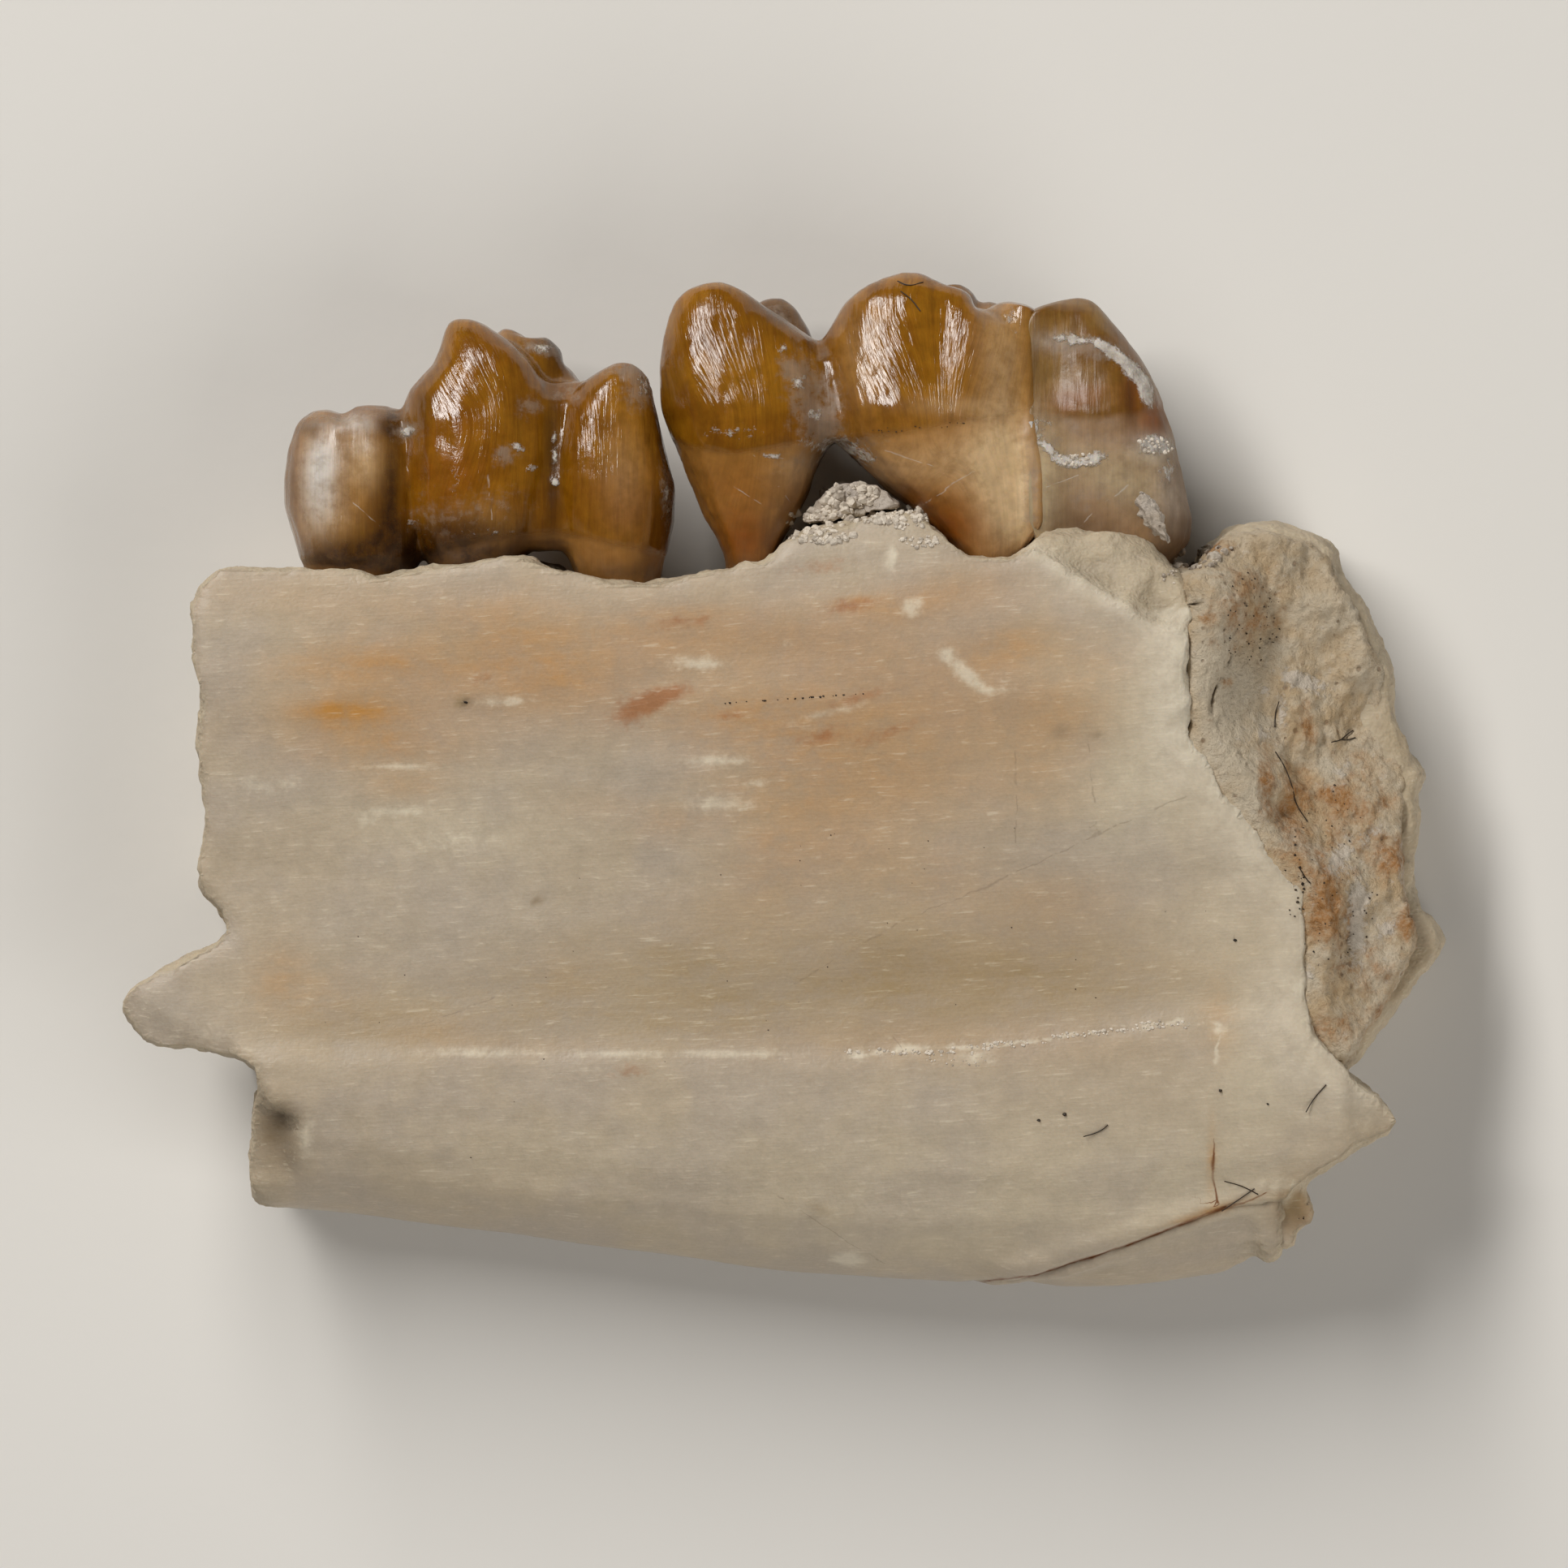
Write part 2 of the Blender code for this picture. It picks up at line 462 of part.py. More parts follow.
def make_teeth(enamel):
    tooth("premolar", [PREMOLAR_FRONT, STUMP, PREMOLAR_BACK, PREMOLAR_BODY, PREMOLAR_INNER_CUSP], enamel)
    inner_cusps = [MOLAR_FRONT_INNER_CUSP, MOLAR_BACK_INNER_CUSP]
    molar = [MOLAR_FRONT, MOLAR_BACK, MOLAR_BODY, MOLAR_BACK_SHOULDER] + inner_cusps
    tooth("front_molar", molar, enamel)
    tooth("rear_molar", [REAR_MOLAR, REAR_MOLAR_INNER_CUSP], enamel)


def make_sediment(sediment):
    dress(slab("rear_matrix", MATRIX_EDGE, MATRIX_FLOOR, matrix_top, MATRIX_GRID), sediment)
    dress(slab("root_matrix", CRUMB_EDGE, CRUMB_FACES[0], crumb_top, CRUMB_GRID), sediment)
    dress(column("sediment_peg", SEDIMENT_PEG), sediment)


def main():
    clear_scene()
    bone = material("bone", (0.39, 0.32, 0.23), 0.5)
    enamel = material("enamel", (0.24, 0.11, 0.025), 0.2)
    sediment = material("sediment", (0.30, 0.21, 0.13), 0.9)
    make_bone(bone)
    make_flake(bone)
    make_teeth(enamel)
    make_sediment(sediment)


main()
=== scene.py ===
"""Looks of a fossil lower-jaw fragment: weathered bone, three amber cheek teeth and gritty sediment behind.

Places and sizes are millimetres in the part's own frame until a mesh is made: +X runs back along the jaw,
+Y up towards the tooth tips and +Z out through the outer face, which is up as the fragment lies.
"""

import json
import logging
import math
import random
from dataclasses import dataclass, replace
from enum import Enum
from typing import Optional, Sequence, Union

import bpy
import numpy as np
from mathutils import Matrix, Vector

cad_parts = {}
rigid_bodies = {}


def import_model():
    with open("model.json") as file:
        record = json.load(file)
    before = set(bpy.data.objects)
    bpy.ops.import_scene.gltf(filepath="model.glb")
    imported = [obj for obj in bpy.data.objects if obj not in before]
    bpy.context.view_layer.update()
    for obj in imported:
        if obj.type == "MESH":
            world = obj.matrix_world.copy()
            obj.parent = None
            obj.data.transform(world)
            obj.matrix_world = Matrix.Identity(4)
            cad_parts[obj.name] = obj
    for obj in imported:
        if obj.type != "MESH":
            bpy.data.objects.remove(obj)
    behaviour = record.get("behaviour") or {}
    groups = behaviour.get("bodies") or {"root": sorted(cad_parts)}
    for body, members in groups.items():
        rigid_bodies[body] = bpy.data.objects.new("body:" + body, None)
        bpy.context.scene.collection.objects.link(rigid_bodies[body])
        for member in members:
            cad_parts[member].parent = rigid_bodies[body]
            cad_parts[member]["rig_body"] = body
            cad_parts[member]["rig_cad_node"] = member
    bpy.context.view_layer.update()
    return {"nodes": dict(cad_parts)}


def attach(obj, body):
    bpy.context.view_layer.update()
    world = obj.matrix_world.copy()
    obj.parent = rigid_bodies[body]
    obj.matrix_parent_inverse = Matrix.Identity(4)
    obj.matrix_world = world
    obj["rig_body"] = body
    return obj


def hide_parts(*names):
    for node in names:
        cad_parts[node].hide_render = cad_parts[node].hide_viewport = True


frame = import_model()

MM = 0.001
LOG = logging.getLogger("jaw")

# Vertex weights are rounded to this many steps, so that a group is filled in few calls.
WEIGHT_STEPS = 250
# Loose corners closer than this many metres are one vertex.
MERGE_WITHIN = 1e-6
# A distance that stands for far away from any line, and one too small to matter.
FAR = 9.0
HAIR = 1e-6
# The height above which a vertex belongs to the outer half of the bone.
OUTER_HALF = 2.5
# The height from which rays look down on the fragment.
SKY = 12.0
# The molars meet along this line, given as Y and X.
MOLAR_JOINT = ((4.2, 4.84), (5.9, 4.8), (7.0, 4.66), (8.7, 4.58))

Point = tuple[float, float]
Colour = tuple[float, float, float, float]
Socket = bpy.types.NodeSocket
Value = Union[float, Socket]
Tone = Union[Colour, Socket]
Thing = bpy.types.Object


class Slot(Enum):
    """The record's material slots."""

    BONE = "fossil_bone"
    ENAMEL = "tooth_enamel"
    WORN = "worn_tooth"
    SEDIMENT = "sediment"
    CRUST = "white_crust"


class Pattern(Enum):
    """Kinds of surface relief, by the noise that makes them."""

    SOFT = "IMPROVED_PERLIN"
    GRAINY = "ORIGINAL_PERLIN"
    CHIPPED = "VORONOI_F2_F1"


@dataclass(frozen=True)
class Patch:
    """An oval patch of colour or crust on the outer side. Its strength fades from the middle out."""

    x: float
    y: float
    long: float
    high: float
    strength: float = 1.0
    turn: float = 0.0

    def field(self, places: np.ndarray) -> np.ndarray:
        """The patch's strength at each place.

        Args:
            places: one row of millimetres per vertex.

        Returns:
            One strength per vertex.
        """
        turn = math.radians(self.turn)
        dx, dy = places[:, 0] - self.x, places[:, 1] - self.y
        along = (dx * math.cos(turn) + dy * math.sin(turn)) / self.long
        across = (dy * math.cos(turn) - dx * math.sin(turn)) / self.high
        return self.strength * np.exp(-(along**2 + across**2))


def spots(*rows: Sequence[float]) -> tuple[Patch, ...]:
    """Makes patches from rows of x, y, long, high, strength and, where there is one, turn."""
    return tuple(Patch(*row) for row in rows)


@dataclass(frozen=True)
class Relief:
    """A layer of relief: the size of its grains along X, Y and Z, and its depth from top to bottom."""

    size: tuple[float, float, float]
    depth: float
    pattern: Pattern = Pattern.SOFT
    detail: int = 1
    turn: float = 0.0


# Modelling ------------------------------------------------------------------------------------------------


def pick(piece: Thing) -> None:
    """Selects one piece alone and makes it the active one.

    Args:
        piece: the piece to work on.
    """
    bpy.ops.object.select_all(action="DESELECT")
    piece.select_set(True)
    bpy.context.view_layer.objects.active = piece


def copy_of(node: str, name: str) -> Thing:
    """Copies a node of the frame and merges its loose triangles, so that it can be worked on.

    Args:
        node: the frame's node.
        name: the new piece's name.

    Returns:
        The new piece, at the node's place.
    """
    pick(frame["nodes"][node])
    bpy.ops.object.duplicate()
    piece = bpy.context.object
    piece.name = piece.data.name = name
    bpy.ops.object.parent_clear(type="CLEAR")
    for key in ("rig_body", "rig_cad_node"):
        del piece[key]
    piece.data.materials.clear()
    bpy.ops.object.mode_set(mode="EDIT")
    bpy.ops.mesh.select_all(action="SELECT")
    bpy.ops.mesh.remove_doubles(threshold=MERGE_WITHIN)
    bpy.ops.mesh.normals_make_consistent(inside=False)
    bpy.ops.object.mode_set(mode="OBJECT")
    return piece


def work(piece: Thing, kind: str, **settings: object) -> None:
    """Adds a modifier and applies it.

    Args:
        piece: the piece to work on.
        kind: the modifier's type.
        settings: what to set on it.
    """
    modifier = piece.modifiers.new(kind.lower(), kind)
    for key, value in settings.items():
        setattr(modifier, key, value)
    pick(piece)
    bpy.ops.object.modifier_apply(modifier=modifier.name)


def places_of(piece: Thing) -> np.ndarray:
    """Reads where the vertices are.

    Args:
        piece: a mesh piece.

    Returns:
        One row of millimetres per vertex.
    """
    flat = np.empty(len(piece.data.vertices) * 3)
    piece.data.vertices.foreach_get("co", flat)
    return flat.reshape(-1, 3) / MM


def normals_of(piece: Thing) -> np.ndarray:
    """Reads which way the vertices face.

    Args:
        piece: a mesh piece.

    Returns:
        One unit normal per vertex.
    """
    flat = np.empty(len(piece.data.vertices) * 3)
    piece.data.vertices.foreach_get("normal", flat)
    return flat.reshape(-1, 3)


def facing(piece: Thing, gain: float) -> np.ndarray:
    """How far each vertex faces outwards, from 0 to 1, which is reached the sooner the greater the gain."""
    return np.clip(normals_of(piece)[:, 2] * gain, 0, 1)


def ramp(values: np.ndarray, start: float, run: float) -> np.ndarray:
    """Rises evenly from 0 at the start to 1 after the run, which is negative to rise downwards."""
    return np.clip((values - start) / run, 0, 1)


def weigh(piece: Thing, values: np.ndarray) -> str:
    """Makes a vertex group from values between 0 and 1.

    Args:
        piece: the piece that gets the group.
        values: one value per vertex.

    Returns:
        The group's name.
    """
    group = piece.vertex_groups.new(name="weight")
    steps = np.clip(np.rint(values * WEIGHT_STEPS), 0, WEIGHT_STEPS).astype(int)
    for step in range(1, WEIGHT_STEPS + 1):
        members = np.flatnonzero(steps == step)
        if len(members):
            group.add(members.tolist(), step / WEIGHT_STEPS, "REPLACE")
    return group.name


def emboss(piece: Thing, relief: Relief, weights: Optional[np.ndarray] = None) -> None:
    """Presses a layer of relief into a piece along its normals.

    Args:
        piece: the piece to work on.
        relief: the layer.
        weights: how much of it each vertex takes, all of it if left out.
    """
    texture = bpy.data.textures.new("relief", "CLOUDS")
    texture.noise_basis = relief.pattern.value
    texture.noise_depth = relief.detail
    texture.noise_scale = 1.0
    bpy.ops.object.empty_add()
    ruler = bpy.context.object
    ruler.scale = Vector(relief.size) * MM
    ruler.rotation_euler.z = math.radians(relief.turn)
    bpy.context.view_layer.update()
    group = weigh(piece, weights) if weights is not None else ""
    work(
        piece, "DISPLACE", texture=texture, texture_coords="OBJECT", texture_coords_object=ruler,
        strength=relief.depth * MM, mid_level=0.5, vertex_group=group,
    )
    piece.vertex_groups.clear()
    bpy.data.objects.remove(ruler)
    bpy.data.textures.remove(texture)


def swell(piece: Thing, weights: np.ndarray, height: float, direction: str = "NORMAL") -> None:
    """Raises the surface, or sinks it where the height is negative.

    Args:
        piece: the piece to work on.
        weights: how much each vertex moves, from 0 to 1.
        height: the furthest move.
        direction: along the normals, or along one axis.
    """
    group = weigh(piece, weights)
    work(piece, "DISPLACE", strength=height * MM, mid_level=0.0, direction=direction, vertex_group=group)
    piece.vertex_groups.clear()


def settle(piece: Thing, target: np.ndarray, share: np.ndarray) -> None:
    """Moves the surface straight up or down to a height.

    Args:
        piece: the piece to work on.
        target: the height wanted at each vertex.
        share: how much of the way each vertex goes, from 0 to 1.
    """
    way = (target - places_of(piece)[:, 2]) * share
    for sign in (1, -1):
        part = np.clip(way * sign, 0, None)
        if part.max() > 0:
            swell(piece, part / part.max(), sign * part.max(), "Z")


def soften(piece: Thing, times: int, weights: Optional[np.ndarray] = None) -> None:
    """Rounds a piece as wear does.

    Args:
        piece: the piece to work on.
        times: how often to smooth it.
        weights: how much each vertex takes part, all if left out.
    """
    group = weigh(piece, weights) if weights is not None else ""
    work(piece, "SMOOTH", factor=0.5, iterations=times, vertex_group=group)
    piece.vertex_groups.clear()


def paint(piece: Thing, name: str, values: np.ndarray) -> None:
    """Stores one number per vertex under a name, for a material to read."""
    layer = piece.data.attributes.new(name, "FLOAT", "POINT")
    layer.data.foreach_set("value", values.astype(np.float32))


def patches(places: np.ndarray, marks: Sequence[Patch]) -> np.ndarray:
    """Adds up patches.

    Args:
        places: one row of millimetres per vertex.
        marks: the patches.

    Returns:
        One strength per vertex.
    """
    total = np.zeros(len(places))
    for mark in marks:
        total += mark.field(places)
    return total


def nearest(places: np.ndarray, line: Sequence[Point]) -> tuple[np.ndarray, np.ndarray]:
    """Measures how far each place is from a line, as seen from the outer side.

    Args:
        places: one row of millimetres per vertex.
        line: the line's points.

    Returns:
        The distance, positive on the line's left, and True beside the line, False past its ends.
    """
    best = np.full(len(places), math.inf)
    beside = np.zeros(len(places), bool)
    for (x0, y0), (x1, y1) in zip(line, line[1:]):
        run, rise = x1 - x0, y1 - y0
        dx, dy = places[:, 0] - x0, places[:, 1] - y0
        share = (dx * run + dy * rise) / (run**2 + rise**2)
        held = np.clip(share, 0, 1)
        off = np.hypot(dx - held * run, dy - held * rise)
        side = np.where(run * dy - rise * dx < 0, -1.0, 1.0)
        closer = off < np.abs(best)
        best = np.where(closer, off * side, best)
        beside = np.where(closer, (share >= 0) & (share <= 1) | (held > 0) & (held < 1), beside)
    ends = np.minimum(*(np.hypot(places[:, 0] - x, places[:, 1] - y) for x, y in (line[0], line[-1])))
    return best, beside | (ends > np.abs(best) + HAIR)


def band(places: np.ndarray, line: Sequence[Point], half: float) -> np.ndarray:
    """A soft band along a line: 1 on the line, and fading over half the band's width."""
    return np.exp(-((nearest(places, line)[0] / half) ** 2))


def trace(piece: Thing, name: str, lines: Sequence[Sequence[Point]], reach: float = 0.5) -> None:
    """Stores where fine lines run, as a signed distance and a mask that keeps them to their own length.

    Args:
        piece: the piece to paint.
        name: the lines' name, which the attributes start with.
        lines: the lines.
        reach: how far from a line the mask still holds.
    """
    places = places_of(piece)
    distance = np.full(len(places), FAR)
    mask = np.zeros(len(places))
    for line in lines:
        off, beside = nearest(places, line)
        closer = np.abs(off) < np.abs(distance)
        distance = np.where(closer, off, distance)
        mask = np.where(closer, beside * np.clip(1 - np.abs(off) / reach, 0, 1), mask)
    paint(piece, f"{name}_off", distance)
    paint(piece, f"{name}_near", mask * (normals_of(piece)[:, 2] > 0))


# Materials ------------------------------------------------------------------------------------------------


def colour(code: str) -> Colour:
    """Turns six hex digits into the renderer's linear red, green and blue, with full alpha."""
    parts = [int(code[i : i + 2], 16) / 255 for i in (0, 2, 4)]
    return (*(p / 12.92 if p <= 0.04045 else ((p + 0.055) / 1.055) ** 2.4 for p in parts), 1.0)


class Graph:
    """A node tree with short ways to add and join nodes."""

    def __init__(self, tree: bpy.types.NodeTree) -> None:
        """Keeps a material's or a group's node tree."""
        self.tree = tree

    def add(self, kind: str, **settings: object) -> bpy.types.Node:
        """Adds a node.

        Args:
            kind: the node's type, without the prefix that all share.
            settings: what to set on it.

        Returns:
            The node.
        """
        node = self.tree.nodes.new(f"ShaderNode{kind}")
        for key, value in settings.items():
            setattr(node, key, value)
        return node

    def feed(self, socket: Socket, value: Union[Value, Sequence[float]]) -> None:
        """Joins a value to a socket, or sets it there.

        Args:
            socket: the input.
            value: an output socket or a constant.
        """
        if isinstance(value, Socket):
            self.tree.links.new(value, socket)
        else:
            socket.default_value = value

    def math(self, operation: str, *values: Value) -> Socket:
        """Adds a Math node.

        Args:
            operation: what it does.
            values: its inputs.

        Returns:
            Its result.
        """
        node = self.add("Math", operation=operation)
        for socket, value in zip(node.inputs, values):
            self.feed(socket, value)
        return node.outputs[0]

    def total(self, *values: Value) -> Socket:
        """Adds values up.

        Args:
            values: the values.

        Returns:
            Their sum.
        """
        result = values[0]
        for value in values[1:]:
            result = self.math("ADD", result, value)
        return result

    def times(self, *values: Value) -> Socket:
        """Multiplies values.

        Args:
            values: the values.

        Returns:
            Their product.
        """
        result = values[0]
        for value in values[1:]:
            result = self.math("MULTIPLY", result, value)
        return result

    def step(self, value: Value, low: Value, high: Value, start: Value = 0.0, end: Value = 1.0) -> Socket:
        """Goes smoothly from one value to another as the input goes from low to high.

        Args:
            value: the input.
            low: where the result is still start.
            high: where the result has reached end.
            start: the result at low.
            end: the result at high.

        Returns:
            The result.
        """
        node = self.add("MapRange", interpolation_type="SMOOTHSTEP", clamp=True)
        for socket, given in zip(node.inputs, (value, low, high, start, end)):
            self.feed(socket, given)
        return node.outputs[0]

    def mix(self, share: Value, low: Tone, high: Tone, blend: str = "MIX") -> Socket:
        """Mixes two colours.

        Args:
            share: how much of the second one.
            low: the first colour.
            high: the second colour.
            blend: how they mix.

        Returns:
            The mixed colour.
        """
        node = self.add("Mix", data_type="RGBA", blend_type=blend, clamp_factor=True)
        for socket, value in ((node.inputs[0], share), (node.inputs[6], low), (node.inputs[7], high)):
            self.feed(socket, value)
        return node.outputs[2]

    def noise(
        self, place: Socket, size: Value, detail: float = 2.0, rough: float = 0.5, twist: float = 0.0
    ) -> Socket:
        """A noise of a given grain size.

        Args:
            place: millimetres on the piece.
            size: the size of a grain.
            detail: how many finer layers it has.
            rough: how strong the finer layers are.
            twist: how much it is distorted.

        Returns:
            A value around 0.5.
        """
        node = self.add("TexNoise", noise_dimensions="3D")
        scale = 1 / size if isinstance(size, (int, float)) else self.math("DIVIDE", 1.0, size)
        given = {"Vector": place, "Scale": scale, "Detail": detail, "Roughness": rough, "Distortion": twist}
        for name, value in given.items():
            self.feed(node.inputs[name], value)
        return node.outputs[0]

    def field(self, name: str) -> Socket:
        """Reads a value painted on the piece."""
        return self.add("Attribute", attribute_type="GEOMETRY", attribute_name=name).outputs["Fac"]

    def place(self) -> Socket:
        """Finds where a point is on the piece.

        Returns:
            Its place in millimetres.
        """
        node = self.add("Mapping", vector_type="POINT")
        self.feed(node.inputs["Vector"], self.add("TexCoord").outputs["Object"])
        self.feed(node.inputs["Scale"], (1 / MM,) * 3)
        return node.outputs[0]

    def use(self, effect: bpy.types.NodeTree, **inputs: Value) -> bpy.types.Node:
        """Places a shared effect.

        Args:
            effect: the effect's group.
            inputs: its values, with an underscore for a space in a socket's name.

        Returns:
            The group's node.
        """
        node = self.add("Group", node_tree=effect)
        for name, value in inputs.items():
            self.feed(node.inputs[name.replace("_", " ")], value)
        return node


class Effects:
    """The shared effects, each a node group built once."""

    def __init__(self) -> None:
        """Builds the groups."""
        self.grain = self._grain()
        self.frayed = self._frayed()
        self.hairline = self._hairline()
        self.specks = self._specks()

    @staticmethod
    def _group(
        name: str, inputs: Sequence[tuple[str, str, object]], outputs: Sequence[str]
    ) -> tuple[Graph, dict, dict]:
        """Starts a group with named sockets.

        Args:
            name: the group's name.
            inputs: each input's name, type and value.
            outputs: the outputs' names.

        Returns:
            The group's graph, its inputs and its outputs, by name.
        """
        tree = bpy.data.node_groups.new(name, "ShaderNodeTree")
        for label, kind, value in inputs:
            socket = tree.interface.new_socket(label, in_out="INPUT", socket_type=f"NodeSocket{kind}")
            if value is not None:
                socket.default_value = value
        for label in outputs:
            tree.interface.new_socket(label, in_out="OUTPUT", socket_type="NodeSocketFloat")
        given, result = tree.nodes.new("NodeGroupInput"), tree.nodes.new("NodeGroupOutput")
        return Graph(tree), {s.name: s for s in given.outputs}, {s.name: s for s in result.inputs}

    def _grain(self) -> bpy.types.NodeTree:
        """Fine streaks: a noise drawn out along one direction.

        Returns:
            The group.
        """
        inputs = [
            ("Place", "Vector", None), ("Length", "Float", 2.0), ("Width", "Float", 0.08),
            ("Turn", "Float", 0.0),
        ]
        graph, given, result = self._group("streaks", inputs, ["Height"])
        turned = graph.add("VectorRotate", rotation_type="Z_AXIS")
        graph.feed(turned.inputs["Vector"], given["Place"])
        graph.feed(turned.inputs["Angle"], given["Turn"])
        stretch = graph.add("CombineXYZ")
        graph.feed(stretch.inputs[0], graph.math("DIVIDE", 1.0, given["Length"]))
        for i in (1, 2):
            graph.feed(stretch.inputs[i], graph.math("DIVIDE", 1.0, given["Width"]))
        scaled = graph.add("VectorMath", operation="MULTIPLY")
        graph.feed(scaled.inputs[0], turned.outputs[0])
        graph.feed(scaled.inputs[1], stretch.outputs[0])
        graph.feed(result["Height"], graph.noise(scaled.outputs[0], 1.0, 3.0, 0.55, 0.4))
        return graph.tree

    def _frayed(self) -> bpy.types.NodeTree:
        """A patch with a ragged edge: its field, broken up by noise and cut at a level.

        Returns:
            The group.
        """
        inputs = [
            ("Field", "Float", 0.0), ("Place", "Vector", None), ("Size", "Float", 0.2),
            ("Ragged", "Float", 0.5), ("Edge", "Float", 0.1),
        ]
        graph, given, result = self._group("frayed_patch", inputs, ["Mask"])
        ragged = graph.math("SUBTRACT", graph.noise(given["Place"], given["Size"], 4.0, 0.65), 0.5)
        level = graph.total(given["Field"], graph.times(ragged, given["Ragged"], 2.0))
        low = graph.math("SUBTRACT", 0.5, given["Edge"])
        high = graph.math("ADD", 0.5, given["Edge"])
        cut = graph.step(level, low, high)
        graph.feed(result["Mask"], graph.times(cut, graph.step(given["Field"], 0.02, 0.15)))
        return graph.tree

    def _hairline(self) -> bpy.types.NodeTree:
        """A fine line that wanders a little, changes its width and breaks off here and there.

        Returns:
            The group.
        """
        inputs = [
            ("Off", "Float", FAR), ("Near", "Float", 0.0), ("Place", "Vector", None),
            ("Width", "Float", 0.03), ("Wander", "Float", 0.05), ("Breaks", "Float", 0.3),
        ]
        graph, given, result = self._group("hairline", inputs, ["Mask"])
        shake = graph.math("SUBTRACT", graph.noise(given["Place"], 0.35, 3.0, 0.6), 0.5)
        off = graph.math("ABSOLUTE", graph.total(given["Off"], graph.times(shake, given["Wander"], 2.0)))
        vary = graph.step(graph.noise(given["Place"], 0.5, 2.0), 0.3, 0.7, 0.45, 1.3)
        line = graph.step(off, 0.0, graph.times(given["Width"], vary), 1.0, 0.0)
        spread = graph.noise(given["Place"], 0.3, 2.0, 0.6)
        gaps = graph.step(spread, given["Breaks"], graph.total(given["Breaks"], 0.12))
        graph.feed(result["Mask"], graph.times(line, gaps, graph.step(given["Near"], 0.02, 0.4)))
        return graph.tree

    def _specks(self) -> bpy.types.NodeTree:
        """Scattered specks, most cells left empty.

        Returns:
            The group.
        """
        inputs = [
            ("Place", "Vector", None), ("Spacing", "Float", 0.5), ("Radius", "Float", 0.1),
            ("Share", "Float", 0.2),
        ]
        graph, given, result = self._group("specks", inputs, ["Mask"])
        cells = graph.add("TexVoronoi", feature="F1")
        graph.feed(cells.inputs["Vector"], given["Place"])
        graph.feed(cells.inputs["Scale"], graph.math("DIVIDE", 1.0, given["Spacing"]))
        pick_one = graph.add("SeparateColor")
        graph.feed(pick_one.inputs[0], cells.outputs["Color"])
        kept = graph.math("LESS_THAN", pick_one.outputs[0], given["Share"])
        size = graph.times(given["Radius"], graph.step(pick_one.outputs[1], 0.0, 1.0, 0.4, 1.0))
        dot = graph.step(cells.outputs["Distance"], graph.times(size, 0.4), size, 1.0, 0.0)
        graph.feed(result["Mask"], graph.times(dot, kept))
        return graph.tree


class Finish:
    """A material under way: its graph, its shader, the place on the piece and the colour so far."""

    def __init__(self, name: str, effects: Optional[Effects] = None) -> None:
        """Starts the material.

        Args:
            name: the material's name.
            effects: the shared effects, where it uses any.
        """
        self.material = bpy.data.materials.new(name)
        self.material.use_nodes = True
        self.graph = Graph(self.material.node_tree)
        self.shader = self.material.node_tree.nodes["Principled BSDF"]
        self.place = self.graph.place()
        self.effects = effects
        self.base: Optional[Socket] = None

    def ground(self, share: Value, low: Colour, high: Colour) -> None:
        """Starts the colour as a mix of two, with this share of the second."""
        self.base = self.graph.mix(share, low, high)

    def lay(self, share: Value, tone: Tone, blend: str = "MIX") -> None:
        """Lays this share of a colour over what is there."""
        self.base = self.graph.mix(share, self.base, tone, blend)

    def stain(self, name: str, tone: Colour, share: Value) -> None:
        """Lays this share of a colour where the piece is painted under the name."""
        self.lay(self.graph.times(self.graph.field(name), share), tone)

    def fray(self, name: str, tone: Colour, share: Value, **settings: float) -> Socket:
        """Lays a colour in patches with ragged edges.

        Args:
            name: the painted value's name.
            tone: the colour.
            share: how much of it.
            settings: what to set on the shared effect.

        Returns:
            The patches' mask.
        """
        painted = self.graph.field(name)
        mask = self.graph.use(self.effects.frayed, Field=painted, Place=self.place, **settings).outputs[0]
        self.lay(self.graph.times(mask, share), tone)
        return mask

    def line(self, name: str, tone: Colour, share: Value, **settings: float) -> None:
        """Draws fine lines that wander and break off.

        Args:
            name: the traced lines' name.
            tone: the colour.
            share: how much of it.
            settings: what to set on the shared effect.
        """
        off, near = self.graph.field(f"{name}_off"), self.graph.field(f"{name}_near")
        drawn = self.graph.use(self.effects.hairline, Off=off, Near=near, Place=self.place, **settings)
        self.lay(self.graph.times(drawn.outputs[0], share), tone)

    def shade(self, tone: Socket) -> None:
        """Multiplies the colour so far by a grey.

        Args:
            tone: the grey's value.
        """
        tint = self.graph.add("CombineColor")
        for i in range(3):
            self.graph.feed(tint.inputs[i], tone)
        self.lay(1.0, tint.outputs[0], "MULTIPLY")

    def fixed(self, **values: object) -> None:
        """Sets constants on the shader's own sockets, an underscore standing for a space."""
        for name, value in values.items():
            self.shader.inputs[name.replace("_", " ")].default_value = value

    def finish(self, rough: Value, height: Socket) -> bpy.types.Material:
        """Joins colour, roughness and relief to the shader.

        Args:
            rough: the roughness.
            height: the relief in millimetres.

        Returns:
            The material.
        """
        bump = self.graph.add("Bump")
        self.graph.feed(bump.inputs["Strength"], 1.0)
        self.graph.feed(bump.inputs["Distance"], MM)
        self.graph.feed(bump.inputs["Height"], height)
        self.graph.feed(self.shader.inputs["Base Color"], self.base)
        self.graph.feed(self.shader.inputs["Roughness"], rough)
        self.graph.feed(self.shader.inputs["Normal"], bump.outputs[0])
        return self.material


